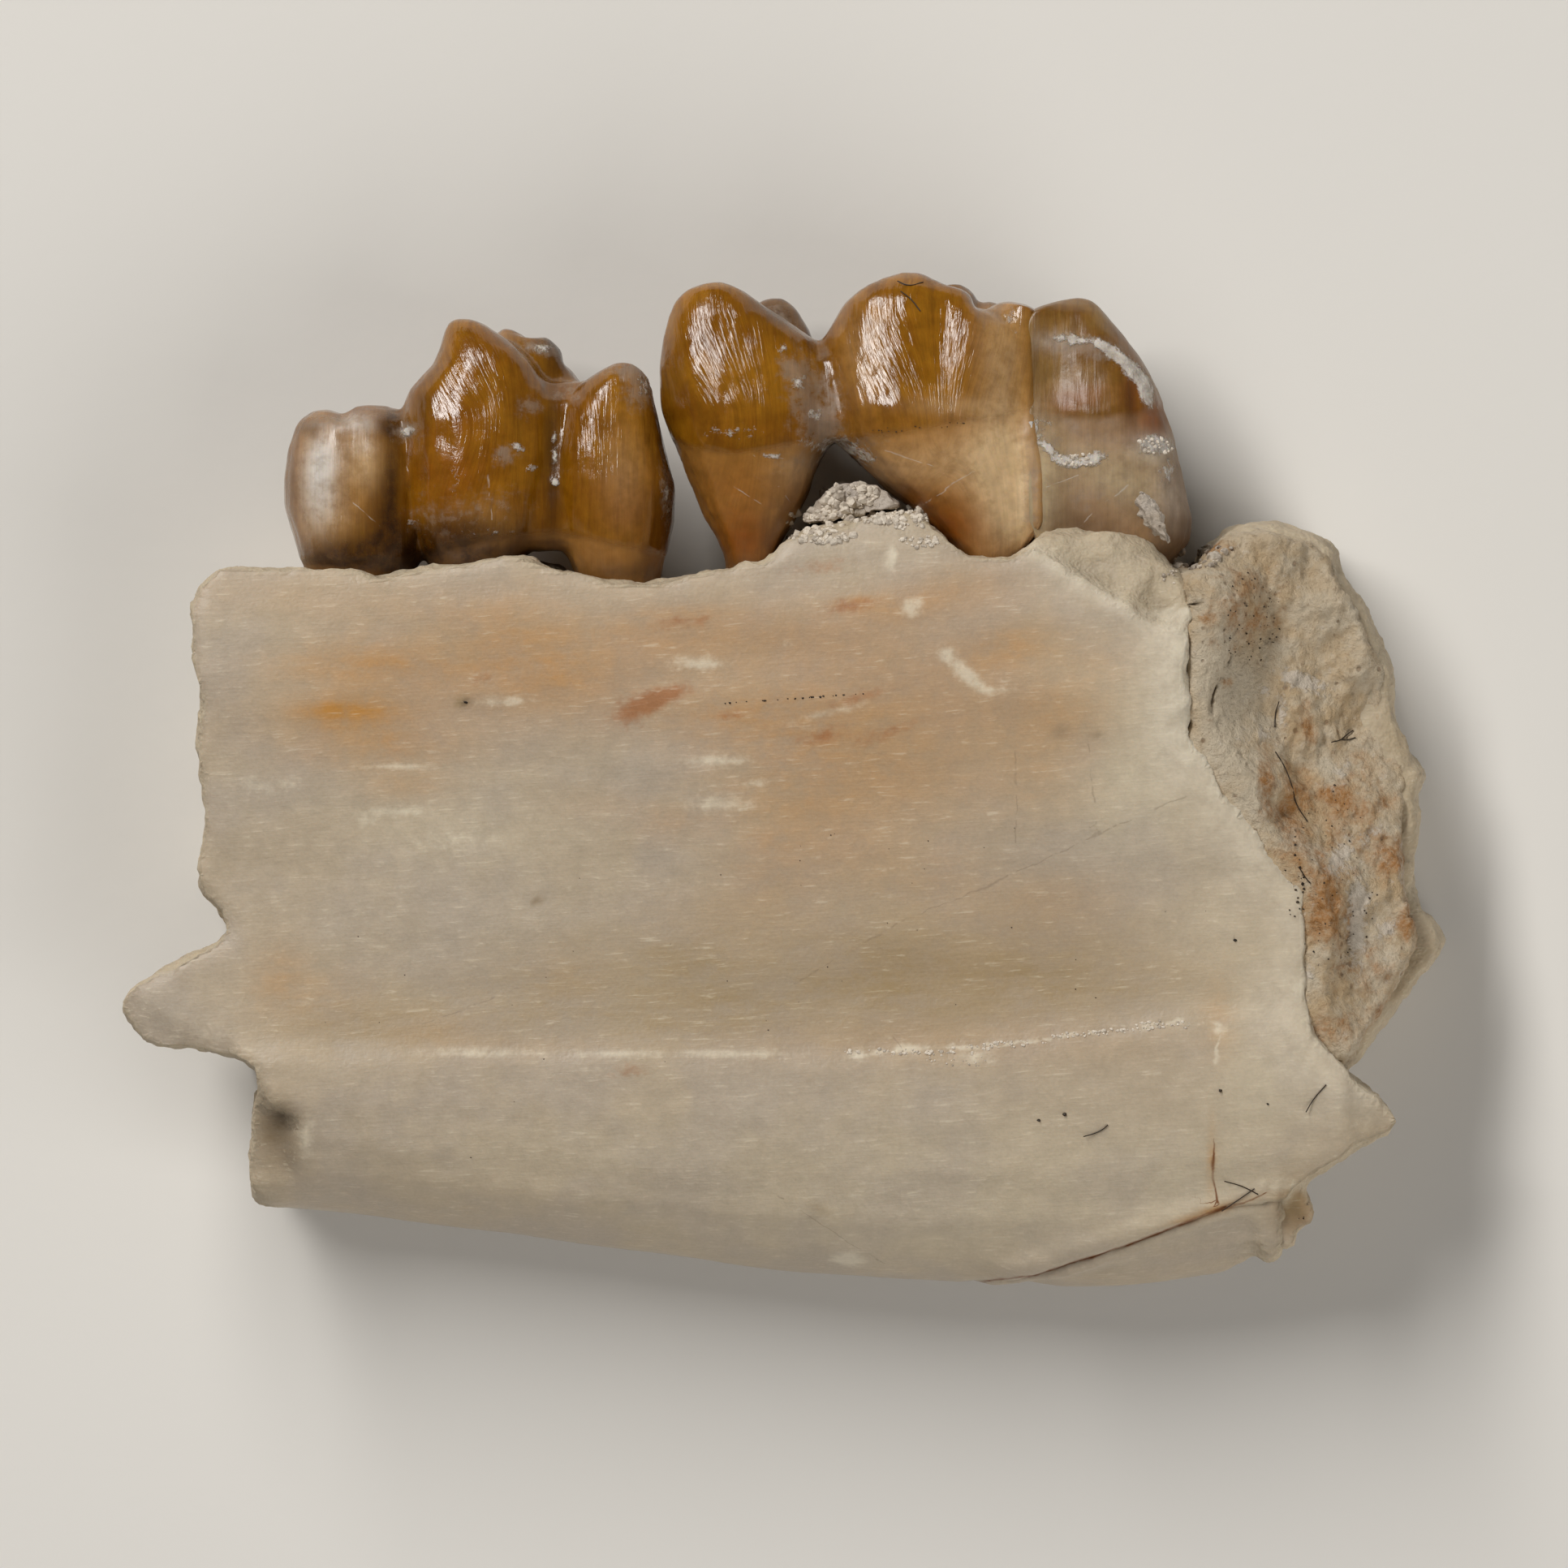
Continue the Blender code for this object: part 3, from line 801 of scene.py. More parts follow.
@dataclass(frozen=True)
class BoneFinish:
    """Chalky cream bone with tan stains, fine grain, hairline cracks and paler breaks, with shade painted
    into its hollows and light painted along its lower border.
    """

    name: str = "fossil_bone"
    body: Colour = colour("AFA18F")
    warm: Colour = colour("B3A38C")
    cool: Colour = colour("A79B8A")
    tan: Colour = colour("AC8456")
    # Dark brown for real dirt specks and dark edges, and for painted shadow in the front notch and the broken
    # corner's hollows.
    dirt_and_shade: Colour = colour("5E4E3A")
    rust: Colour = colour("B48242")
    smear: Colour = colour("9C6234")
    pale: Colour = colour("DACFB8")
    chalk: Colour = colour("D3C8B3")
    cream: Colour = colour("C6B9A0")
    broken: Colour = colour("B4A58C")
    crack: Colour = colour("6B5A48")
    brown: Colour = colour("6E3C10")
    # Warm dark tone, laid mostly as painted shade in the hollows, in the front notch and above the ledge.
    shade: Colour = colour("98825F")
    grain_depth: float = 0.006
    dot_depth: float = 0.005
    mottle_depth: float = 0.022
    break_depth: float = 0.10

    def make(self, effects: Effects) -> bpy.types.Material:
        """Builds the material.

        Args:
            effects: the shared effects.

        Returns:
            The material.
        """
        made = Finish(self.name, effects)
        g, place = made.graph, made.place
        long_grain = g.use(effects.grain, Place=place, Length=1.3, Width=0.24, Turn=-0.05).outputs[0]
        fine_grain = g.use(effects.grain, Place=place, Length=0.5, Width=0.05, Turn=-0.06).outputs[0]
        cloud = g.noise(place, 2.2, 3.0, 0.6)
        mottle = g.noise(place, 0.4, 3.0, 0.65)
        dots = g.noise(place, 0.07, 1.0, 0.6)
        made.ground(g.step(cloud, 0.38, 0.62), self.body, self.warm)
        made.stain("grey", self.cool, 0.7)
        # Cream: paler bone, and painted light along the lower border.
        made.stain("cream", self.cream, g.step(cloud, 0.3, 0.6, 0.5, 1.0))
        made.stain("tan", self.tan, g.step(mottle, 0.25, 0.65, 0.85, 1.1))
        uneven = g.times(g.step(long_grain, 0.3, 0.7, 0.8, 1.25), g.step(mottle, 0.25, 0.65, 0.7, 1.25))
        made.stain("rust", self.rust, uneven)
        # Painted shade from the shade patches, made uneven by the grain.
        made.stain("shade", self.shade, uneven)
        made.fray("smear", self.smear, 0.75, Size=0.22, Ragged=0.7, Edge=0.5)
        made.fray("pale", self.pale, 0.65, Size=0.2, Ragged=0.55, Edge=0.42)
        made.stain("broken", self.broken, g.step(mottle, 0.3, 0.6, 0.5, 1.0))
        made.stain("chalk", self.chalk, g.step(mottle, 0.3, 0.6, 0.65, 1.0))
        # Dark specks of real dirt, and painted shadow in the front notch and in the hollows behind the last
        # tooth.
        made.stain("dirt_and_shade", self.dirt_and_shade, g.step(mottle, 0.25, 0.6, 0.7, 1.0))
        streaks = g.times(g.step(fine_grain, 0.56, 0.7), g.step(mottle, 0.45, 0.6))
        made.lay(g.times(streaks, 0.3), self.pale)
        made.shade(g.total(
            g.step(long_grain, 0.25, 0.75, -0.02, 0.02), g.step(fine_grain, 0.25, 0.75, -0.02, 0.02),
            g.step(dots, 0.3, 0.7, -0.025, 0.025), g.step(mottle, 0.3, 0.7, -0.045, 0.045), 1.0,
        ))
        made.line("crack", self.crack, 0.32, Width=0.028, Wander=0.07, Breaks=0.42)
        drawn = g.step(mottle, 0.3, 0.6, 0.45, 1.0)
        made.line("brown", self.brown, drawn, Width=0.05, Wander=0.03, Breaks=0.25)
        made.line("ledge", self.pale, 0.6, Width=0.08, Wander=0.11, Breaks=0.42)
        height = g.total(
            g.times(fine_grain, self.grain_depth), g.times(dots, self.dot_depth),
            g.times(mottle, self.mottle_depth), g.times(g.field("broken"), mottle, self.break_depth),
        )
        rough = g.total(
            g.step(mottle, 0.3, 0.7, 0.44, 0.58), g.times(g.field("broken"), 0.2),
            g.times(g.field("chalk"), 0.1),
        )
        made.fixed(
            IOR=1.5, Subsurface_Weight=0.12, Subsurface_Radius=(1.0, 0.6, 0.35), Subsurface_Scale=0.6 * MM,
        )
        return made.finish(rough, height)


@dataclass(frozen=True)
class EnamelFinish:
    """Glossy amber enamel with fine wrinkles over duller, paler roots, painted shade in its grooves, at its
    base and down its sides, and pale crust.
    """

    name: str = "amber_enamel"
    enamel: Colour = colour("7A4C08")
    deep: Colour = colour("5A3004")
    gold: Colour = colour("8F5F12")
    root: Colour = colour("98692E")
    orange: Colour = colour("7E4203")
    cream: Colour = colour("C8AA80")
    # Near-black brown laid as painted shade in the grooves, along the tooth bases and down the sides.
    painted_shade: Colour = colour("331C06")
    crust: Colour = colour("C0B8AE")
    grey: Colour = colour("8A7A6A")
    gloss: float = 0.11
    wrinkle: float = 0.011
    strand: float = 0.010
    mottle_depth: float = 0.008
    crust_depth: float = 0.06

    def make(self, effects: Effects) -> bpy.types.Material:
        """Builds the material.

        Args:
            effects: the shared effects.

        Returns:
            The material.
        """
        made = Finish(self.name, effects)
        g, place = made.graph, made.place
        parts = g.add("SeparateXYZ")
        g.feed(parts.inputs[0], place)
        lines = g.add("CombineXYZ")
        ways = (parts.outputs[1], g.field("across"), g.times(parts.outputs[2], 0.15))
        for socket, value in zip(lines.inputs, ways):
            g.feed(socket, value)
        wrinkle = g.use(effects.grain, Place=lines.outputs[0], Length=1.1, Width=0.13).outputs[0]
        fine = g.use(effects.grain, Place=lines.outputs[0], Length=0.8, Width=0.05).outputs[0]
        cloud = g.noise(place, 1.2, 3.0, 0.6)
        mottle = g.noise(place, 0.25, 4.0, 0.65)
        made.ground(g.step(cloud, 0.35, 0.65), self.enamel, self.gold)
        made.lay(g.times(g.step(wrinkle, 0.45, 0.65), 0.3), self.deep)
        made.stain("root", self.root, g.step(cloud, 0.2, 0.7, 0.75, 1.0))
        made.stain("cream", self.cream, g.step(mottle, 0.3, 0.6, 0.8, 1.0))
        made.stain("white", self.crust, g.step(mottle, 0.3, 0.6, 0.7, 1.0))
        made.stain("orange", self.orange, g.step(mottle, 0.25, 0.6, 0.75, 1.0))
        # Painted shade in the grooves, at the bases and down the sides.
        made.stain("painted_shade", self.painted_shade, g.step(mottle, 0.3, 0.65, 0.7, 1.0))
        grey = made.fray("grey", self.grey, 0.6, Size=0.18, Ragged=0.75, Edge=0.35)
        caked = g.step(mottle, 0.25, 0.55, 0.65, 1.0)
        crust = made.fray("crust", self.crust, caked, Size=0.13, Ragged=0.85, Edge=0.2)
        made.shade(g.total(g.step(mottle, 0.3, 0.7, -0.10, 0.10), g.step(fine, 0.3, 0.7, -0.06, 0.06), 1.0))
        made.line("scratch", self.crust, 0.5, Width=0.022, Wander=0.04, Breaks=0.44)
        crown = g.math("SUBTRACT", 1.0, g.times(g.field("root"), 0.7))
        height = g.total(
            g.times(wrinkle, crown, self.wrinkle), g.times(mottle, self.mottle_depth),
            g.times(fine, crown, g.total(g.times(g.field("strands"), self.strand), self.wrinkle * 0.25)),
            g.times(crust, mottle, self.crust_depth),
        )
        dull = g.total(crust, g.times(g.field("white"), 0.8), g.times(g.field("cream"), 0.35))
        rough = g.total(
            g.step(mottle, 0.3, 0.7, self.gloss - 0.03, self.gloss + 0.05), g.times(g.field("root"), 0.22),
            g.times(dull, 0.5), g.times(grey, 0.3), g.times(g.field("painted_shade"), 0.15),
        )
        made.fixed(
            IOR=1.55, Subsurface_Weight=0.2, Subsurface_Radius=(1.0, 0.45, 0.12), Subsurface_Scale=0.5 * MM,
        )
        return made.finish(rough, height)


@dataclass(frozen=True)
class SedimentFinish:
    """Gritty sediment, grey-beige to rusty brown, with white crystals and dark flecks."""

    name: str = "gritty_sediment"
    grit: Colour = colour("B49C7A")
    grey: Colour = colour("C0B29B")
    rust: Colour = colour("9C6C38")
    dark: Colour = colour("6A4A2A")
    white: Colour = colour("CAC0B3")
    grit_depth: float = 0.085
    cloud_depth: float = 0.05
    crystal_depth: float = 0.02
    pit_depth: float = 0.03

    def make(self, effects: Effects) -> bpy.types.Material:
        """Builds the material.

        Args:
            effects: the shared effects.

        Returns:
            The material.
        """
        made = Finish(self.name, effects)
        g, place = made.graph, made.place
        cloud = g.noise(place, 0.9, 5.0, 0.65)
        grit = g.noise(place, 0.11, 4.0, 0.7)
        made.ground(g.step(cloud, 0.35, 0.65), self.grit, self.grey)
        made.lay(g.field("bony"), self.grey)
        made.fray("rust", self.rust, g.step(grit, 0.3, 0.6, 0.45, 0.95), Size=0.4, Ragged=1.0, Edge=0.45)
        flecks = g.use(effects.specks, Place=place, Spacing=0.2, Radius=0.38, Share=0.16).outputs[0]
        made.lay(g.times(flecks, 0.55), self.dark)
        made.lay(g.times(g.step(grit, 0.5, 0.75), 0.4), self.dark)
        white = made.fray("white", self.white, 0.7, Size=0.12, Ragged=1.3, Edge=0.35)
        made.lay(g.times(g.step(g.noise(place, 0.16, 3.0, 0.7), 0.58, 0.75), 0.4), self.white)
        height = g.total(
            g.times(grit, self.grit_depth), g.times(cloud, self.cloud_depth),
            g.times(white, self.crystal_depth), g.times(flecks, -self.pit_depth),
        )
        return made.finish(g.step(grit, 0.3, 0.7, 0.62, 0.85), height)


@dataclass(frozen=True)
class GrainFinish:
    """Loose grains, each with a tone of its own from dark to pale."""

    name: str = "sand_grains"
    dark: Colour = colour("4E3A26")
    pale: Colour = colour("DACFBF")
    rough: float = 0.6
    depth: float = 0.01

    def make(self) -> bpy.types.Material:
        """Builds the material.

        Returns:
            The material.
        """
        made = Finish(self.name)
        g, place = made.graph, made.place
        tone = g.total(g.field("tone"), g.step(g.noise(place, 0.06, 3.0), 0.3, 0.7, -0.12, 0.12))
        made.ground(tone, self.dark, self.pale)
        return made.finish(self.rough, g.times(g.noise(place, 0.03, 3.0), self.depth))


@dataclass(frozen=True)
class PlainFinish:
    """A quiet surface of two close colours in soft clouds, with a fine tooth: the lint and the floor."""

    name: str
    low: Colour
    high: Colour
    cloud: float
    rough: float
    tooth: float
    depth: float

    def make(self) -> bpy.types.Material:
        """Builds the material.

        Returns:
            The material.
        """
        made = Finish(self.name)
        made.ground(made.graph.noise(made.place, self.cloud), self.low, self.high)
        return made.finish(self.rough, made.graph.times(made.graph.noise(made.place, self.tooth), self.depth))


# Pieces ---------------------------------------------------------------------------------------------------


@dataclass
class Piece:
    """A piece that stands for one node of the frame."""

    node: str
    name: str
    slot: Slot
    voxel: float = 0.12
    thing: Optional[Thing] = None

    def start(self, rounds: int) -> Thing:
        """Copies the node and turns it into an even skin with worn edges.

        Args:
            rounds: how often the skin is smoothed.

        Returns:
            The new piece.
        """
        self.thing = copy_of(self.node, self.name)
        work(self.thing, "REMESH", mode="VOXEL", voxel_size=self.voxel * MM)
        soften(self.thing, rounds)
        return self.thing

    def close(self, material: bpy.types.Material) -> None:
        """Dresses the piece and hands it to the frame.

        Args:
            material: its finish.
        """
        piece = self.thing
        piece.data.materials.append(material)
        pick(piece)
        bpy.ops.object.shade_smooth()
        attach(piece, "root")
        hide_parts(self.node)
        report(piece)


def report(piece: Thing) -> None:
    """Logs a piece's name and size."""
    LOG.info("%s: %d faces", piece.name, len(piece.data.polygons))


@dataclass
class Bone(Piece):
    """Either piece of bone: the jaw itself or the splinter of its lower border."""

    lower_border: tuple[Point, ...] = (
        (-13.0, -7.75), (-9.8, -8.05), (-7.2, -8.30), (-4.15, -8.75), (-1.05, -9.15), (1.2, -9.35),
        (3.3, -9.50), (4.75, -9.60), (6.1, -9.60), (7.35, -9.45), (8.1, -9.30), (13.0, -8.6),
    )
    plate_break: tuple[Point, ...] = (
        (4.97, 4.74), (7.04, 4.2), (7.74, 3.34), (7.56, 2.91), (7.54, 1.0), (7.74, 0.56), (8.09, 0.21),
        (8.35, -0.3), (8.69, -0.85), (9.04, -1.29), (9.49, -1.71), (9.7, -2.04), (9.78, -2.79), (9.81, -4.35),
        (10.01, -4.9), (10.4, -5.3), (10.65, -5.56),
    )
    ledge: tuple[Point, ...] = (
        (-9.03, -5.09), (-1.07, -5.12), (1.22, -5.13), (2.45, -5.0), (3.52, -4.98), (5.51, -4.72),
        (6.58, -4.61), (7.34, -4.46), (8.11, -4.52),
    )
    ledge_hook: tuple[Point, ...] = ((8.19, -4.7), (8.08, -4.95), (8.03, -5.32))
    rust: tuple[Patch, ...] = spots(
        (7.96, -8.09, 0.7, 0.08, 0.7, 18), (7.99, -7.09, 0.08, 0.64, 0.4), (-8.26, 1.32, 0.92, 0.28, 0.85),
        (-8.11, 2.21, 1.45, 0.43, 0.36), (-7.65, 0.68, 1.53, 0.4, 0.4), (-6.27, 2.36, 2.29, 0.61, 0.25),
        (-7.19, -0.05, 0.84, 0.28, 0.25), (-4.28, 1.98, 1.15, 0.46, 0.32), (-5.05, 2.9, 1.07, 0.77, 0.22),
        (-2.6, 2.75, 1.84, 0.4, 0.25), (-1.84, 3.21, 0.92, 0.15, 0.25), (1.22, 3.36, 0.55, 0.14, 0.43, 8),
        (2.29, 3.36, 1.07, 0.34, 0.32, 12), (-0.31, 1.29, 2.29, 0.55, 0.4), (0.46, 0.22, 2.14, 0.84, 0.29),
        (4.13, 2.52, 0.92, 0.43, 0.36, 15), (5.66, 2.29, 0.92, 0.55, 0.18), (-0.31, -1.31, 0.92, 0.92, 0.25),
        (-2.14, -0.77, 0.77, 0.37, 0.18), (-9.56, -3.68, 0.52, 0.7, 0.25), (-6.73, -4.64, 0.92, 0.28, 0.25),
        (8.11, -4.37, 0.34, 0.77, 0.22), (2.75, -1.77, 1.38, 0.92, 0.14), (-4.13, -3.6, 0.92, 0.61, 0.11),
        (4.74, 0.22, 1.07, 0.92, 0.18), (-8.72, -4.06, 0.92, 0.61, 0.14),
    )
    tan: tuple[Patch, ...] = spots(
        (0.15, 2.67, 3.52, 0.92, 0.55), (-5.05, 1.75, 3.06, 0.92, 0.4), (3.21, 1.45, 2.91, 0.92, 0.45),
        (2.29, 0.07, 1.84, 0.92, 0.4), (1.22, -1.31, 1.38, 0.77, 0.35), (4.9, -2.23, 1.38, 0.61, 0.3),
        (3.52, 3.66, 1.22, 0.55, 0.35), (0.46, -0.54, 1.07, 0.61, 0.2), (2.75, -4.83, 3.98, 0.46, 0.3),
        (-9.79, 3.51, 1.84, 0.46, 0.25), (-6.27, 3.28, 2.45, 0.61, 0.3), (5.2, 1.29, 0.92, 0.61, 0.3),
        (-0.77, -2.53, 1.84, 0.77, 0.2), (-8.41, 1.29, 2.29, 0.77, 0.25), (-3.52, -0.39, 0.92, 0.31, 0.15),
        (3.21, -3.45, 3.37, 0.92, 0.2), (9.64, -8.04, 0.4, 0.46, 0.6), (-5.05, -4.98, 1.84, 0.21, 0.2),
    )
    # Dark patches: the first four are painted shadow in the hollow of the chipped front corner, and the two
    # on the broken corner behind the last tooth are painted shade in its hollows; the others are real dirt
    # specks and dark edges.
    dirt_and_shade: tuple[Patch, ...] = spots(
        (-9.49, -6.3, 0.31, 0.24, 0.75), (-9.7, -6.66, 0.34, 0.46, 0.5), (-9.91, -5.93, 0.15, 0.31, 0.4),
        (-9.38, -7.05, 0.21, 0.31, 0.25), (-6.04, 1.52, 0.11, 0.08, 0.8), (-4.7, -2.2, 0.08, 0.06, 0.5),
        (-4.13, -2.0, 0.46, 0.12, 0.12), (9.3, -7.96, 0.09, 0.4, 0.45),
        (-11.86, -4.64, 0.92, 0.15, 0.12, -22), (10.56, -5.9, 0.08, 0.61, 0.25),
        (6.96, 3.37, 0.28, 0.18, 0.4, -35), (5.91, 3.86, 0.34, 0.14, 0.3, -30), (5.13, 0.96, 0.14, 0.08, 0.5),
        (5.81, 0.91, 0.11, 0.08, 0.4), (0.46, -8.19, 0.12, 0.06, 0.3), (9.67, -8.22, 0.24, 0.21, 0.25),
    )
    smear: tuple[Patch, ...] = spots(
        (-2.75, 1.42, 0.55, 0.23, 1.1, 22), (-2.26, 1.66, 0.43, 0.12, 0.9, 15),
        (-2.14, 3.01, 0.43, 0.09, 0.65, 6), (-1.56, 3.05, 0.11, 0.11, 0.6), (1.19, 3.33, 0.43, 0.11, 0.8, 8),
        (0.69, 0.86, 0.49, 0.15, 0.7, 12), (-0.99, 1.29, 0.31, 0.09, 0.6, 5),
        (1.3, 1.6, 0.46, 0.12, 0.55, 15), (-3.06, -5.41, 0.4, 0.09, 0.5), (-5.81, 1.94, 0.24, 0.11, 0.5),
        (0.61, 4.05, 0.61, 0.12, 0.45, 10), (1.84, 0.91, 0.61, 0.12, 0.5, 20),
    )
    grey: tuple[Patch, ...] = spots(
        (-2.83, 0.22, 0.92, 0.52, 0.7), (-6.27, -2.69, 2.29, 0.92, 0.45), (-2.6, -3.68, 3.06, 0.77, 0.4),
        (-4.13, -2.46, 1.38, 0.55, 0.25), (0.46, -3.45, 1.07, 0.61, 0.35), (4.44, -1.31, 0.92, 0.52, 0.4),
        (5.81, -0.85, 0.67, 0.34, 0.45), (-5.51, 0.6, 2.29, 0.28, 0.35), (-7.96, -0.31, 1.68, 0.15, 0.4),
        (-8.41, -2.84, 1.07, 0.7, 0.3), (0.46, -8.96, 1.38, 0.4, 0.4), (-0.61, -7.43, 1.38, 0.46, 0.25),
        (-10.56, 1.6, 0.46, 0.46, 0.35), (-10.25, 0.99, 0.46, 3.06, 0.2), (5.35, 0.91, 0.46, 0.12, 0.5),
        (-5.05, 4.35, 0.37, 0.15, 0.4), (8.11, 2.52, 0.46, 1.84, 0.3), (-11.7, -4.37, 0.61, 0.46, 1.0),
        (11.02, -6.28, 0.4, 0.46, 0.9), (-9.56, -6.66, 0.4, 0.61, 0.5),
    )
    pale: tuple[Patch, ...] = spots(
        (-5.35, 1.55, 0.52, 0.08, 0.9), (-7.34, 0.3, 0.73, 0.06, 0.7), (-9.79, -0.05, 0.7, 0.18, 0.45),
        (-7.34, -0.53, 0.61, 0.09, 0.8), (-6.27, -1.08, 0.92, 0.21, 0.4), (-1.84, 2.29, 0.55, 0.12, 0.65),
        (-1.3, 0.42, 0.61, 0.11, 0.85), (-1.3, -0.39, 0.67, 0.15, 0.7), (0.64, 1.29, 0.92, 0.08, 0.6, 14),
        (1.96, 4.23, 0.11, 0.23, 1.2), (2.33, 3.3, 0.2, 0.17, 1.1), (3.37, 2.03, 0.49, 0.12, 1.2, -42),
        (2.98, 2.43, 0.15, 0.12, 0.7), (3.95, 1.72, 0.34, 0.08, 0.6), (9.64, -3.88, 0.11, 0.14, 1.4),
        (1.15, -9.0, 0.34, 0.15, 1.1), (-5.66, -5.06, 1.38, 0.09, 0.75), (-3.21, -5.09, 0.84, 0.08, 0.65),
        (-1.07, -5.09, 1.22, 0.08, 0.7), (1.3, -5.12, 0.18, 0.11, 0.9), (2.37, -5.0, 0.46, 0.09, 0.9),
        (3.52, -5.16, 0.4, 0.12, 0.7), (0.0, 2.62, 0.08, 0.06, 0.9), (-1.53, 2.21, 0.31, 0.09, 0.6),
        (-10.94, -4.7, 0.55, 0.15, 0.4, -10), (11.02, -6.43, 0.43, 0.24, 0.25),
        (-9.06, -6.66, 0.15, 0.4, 0.8), (8.11, -4.64, 0.12, 0.09, 0.9), (-0.61, -0.01, 0.31, 0.08, 0.6),
        (-7.96, -0.7, 0.18, 0.15, 0.55), (-4.74, -2.07, 0.08, 0.08, 0.4), (9.49, -7.58, 0.61, 0.12, 0.7),
    )
    # Painted shade: darker where the face sinks above the ledge, in the front notch and in the broken
    # corner's hollows; the same tone also darkens the rim of the inner wall behind the break and a few
    # specks.
    shade: tuple[Patch, ...] = spots(
        (4.9, -3.83, 3.21, 0.67, 0.5, 3), (1.99, -3.3, 1.22, 0.77, 0.25), (11.02, -6.43, 0.46, 0.4, 0.35),
        (9.03, -2.38, 0.61, 1.07, 0.2), (11.6, 0.07, 0.52, 3.06, 0.8), (10.86, 3.74, 0.61, 1.84, 0.7, -50),
        (11.78, -3.6, 0.92, 0.92, 0.7), (-1.38, -4.37, 1.84, 0.46, 0.2), (-6.12, 1.52, 0.11, 0.09, 0.9),
        (-4.7, -2.2, 0.09, 0.08, 0.6), (-1.99, -3.3, 0.92, 0.46, 0.2), (7.96, -0.7, 0.61, 1.22, 0.1),
        (0.61, -8.04, 0.24, 0.08, 0.35, -30), (9.58, -7.98, 0.34, 0.4, 0.7), (-9.64, -6.66, 0.46, 0.7, 0.5),
        (7.19, 3.74, 0.77, 0.46, 0.3, -30), (0.46, -3.45, 4.59, 1.38, 0.35), (-4.13, -4.22, 3.98, 0.92, 0.35),
        (-8.11, -4.6, 1.84, 0.61, 0.35), (4.9, -2.53, 1.53, 0.92, 0.2),
    )
    # Cream: paler bone near the plate's break and on the corner's crest, and painted light along the lower
    # border, where the surface turns away from the lamps.
    cream: tuple[Patch, ...] = spots(
        (6.58, 0.53, 1.07, 1.99, 0.9), (5.51, 1.75, 1.22, 0.92, 0.4), (8.72, -3.3, 1.07, 1.99, 0.6),
        (9.03, -5.75, 1.07, 0.92, 0.6), (-10.25, 3.43, 0.92, 0.61, 0.5), (-4.13, -6.97, 5.05, 0.92, 0.3),
        (4.28, -6.97, 3.98, 0.92, 0.35), (5.51, 3.89, 0.77, 0.46, 0.5), (-6.88, 4.05, 1.84, 0.24, 0.3),
        (6.12, 4.54, 0.46, 0.28, 0.9), (6.62, 3.8, 0.21, 0.37, 0.8, -30), (7.5, 3.25, 0.18, 0.31, 0.8),
        (2.75, -8.35, 5.81, 0.92, 0.5), (7.65, -7.43, 1.68, 0.92, 0.4), (-6.27, -1.0, 1.84, 0.77, 0.4),
        (4.9, 4.43, 0.61, 0.21, 0.6),
    )
    cracks: tuple[tuple[Point, ...], ...] = (
        (
            (0.08, -3.79), (1.15, -3.17), (2.14, -2.61), (3.82, -1.92), (5.81, -0.97), (6.88, -0.51),
            (7.8, -0.11),
        ),
        ((5.66, 0.71), (5.72, -0.01), (5.83, -0.88)),
        ((-0.18, -7.76), (0.46, -8.19), (1.22, -8.73), (2.17, -9.26)),
        ((4.28, 0.56), (4.31, -0.39), (4.28, -1.34)),
        ((8.41, -2.84), (8.45, -3.07)),
        ((1.91, -4.67), (2.14, -4.98)),
        ((-6.88, -4.55), (-5.66, -4.09), (-5.05, -3.83)),
    )
    brown: tuple[tuple[Point, ...], ...] = (
        ((8.03, -6.74), (8.02, -7.43), (8.11, -7.92)),
        (
            (3.44, -9.52), (3.9, -9.42), (4.67, -9.31), (5.29, -9.1), (6.06, -8.85), (6.82, -8.58),
            (7.3, -8.38), (7.82, -8.16), (8.15, -8.02), (8.63, -7.89), (9.03, -7.73),
        ),
        ((7.19, -8.41), (7.82, -8.18), (8.15, -8.04), (8.63, -7.9)),
    )

    corner_crest: tuple[Point, ...] = (
        (4.21, 4.74), (4.91, 4.15), (5.6, 3.71), (6.26, 3.31), (6.62, 3.04), (7.34, 2.78), (8.26, 2.67),
    )
    corner_lumps: tuple[Patch, ...] = spots(
        (6.12, 4.58, 0.4, 0.21, 1.0), (6.62, 3.83, 0.18, 0.34, 0.8, -30), (5.14, 4.54, 0.4, 0.15, 0.6),
        (5.6, 3.68, 0.21, 0.12, 0.5), (7.5, 3.28, 0.18, 0.28, 0.8), (5.05, 4.05, 0.31, 0.11, 0.5, -30),
        (6.35, 3.25, 0.31, 0.09, 0.5, -30),
    )
    corner_hollows: tuple[Patch, ...] = spots(
        (5.91, 3.96, 0.37, 0.17, 1.0, -30), (6.95, 3.43, 0.31, 0.18, 1.0, -35), (5.51, 4.14, 0.21, 0.12, 0.6),
    )
    notch_edge: tuple[Point, ...] = (
        (-10.25, -5.71), (-9.85, -5.76), (-9.73, -5.97), (-9.44, -6.07), (-9.2, -6.22), (-9.2, -6.4),
        (-9.24, -6.66), (-9.24, -6.97), (-9.09, -7.35), (-9.09, -7.89), (-10.25, -8.19),
    )
    chips: tuple[tuple[tuple[Point, ...], float], ...] = (
        (((10.48, -4.98), (10.56, -5.9), (10.59, -6.82)), 0.16),
        (((-10.25, -4.95), (-11.55, -4.55), (-12.7, -3.68)), 0.14),
    )
    open_crack: tuple[Point, ...] = (
        (3.29, -9.48), (4.13, -9.33), (5.81, -8.81), (7.34, -8.25), (8.41, -7.89), (9.12, -7.67),
        (9.24, -8.81),
    )

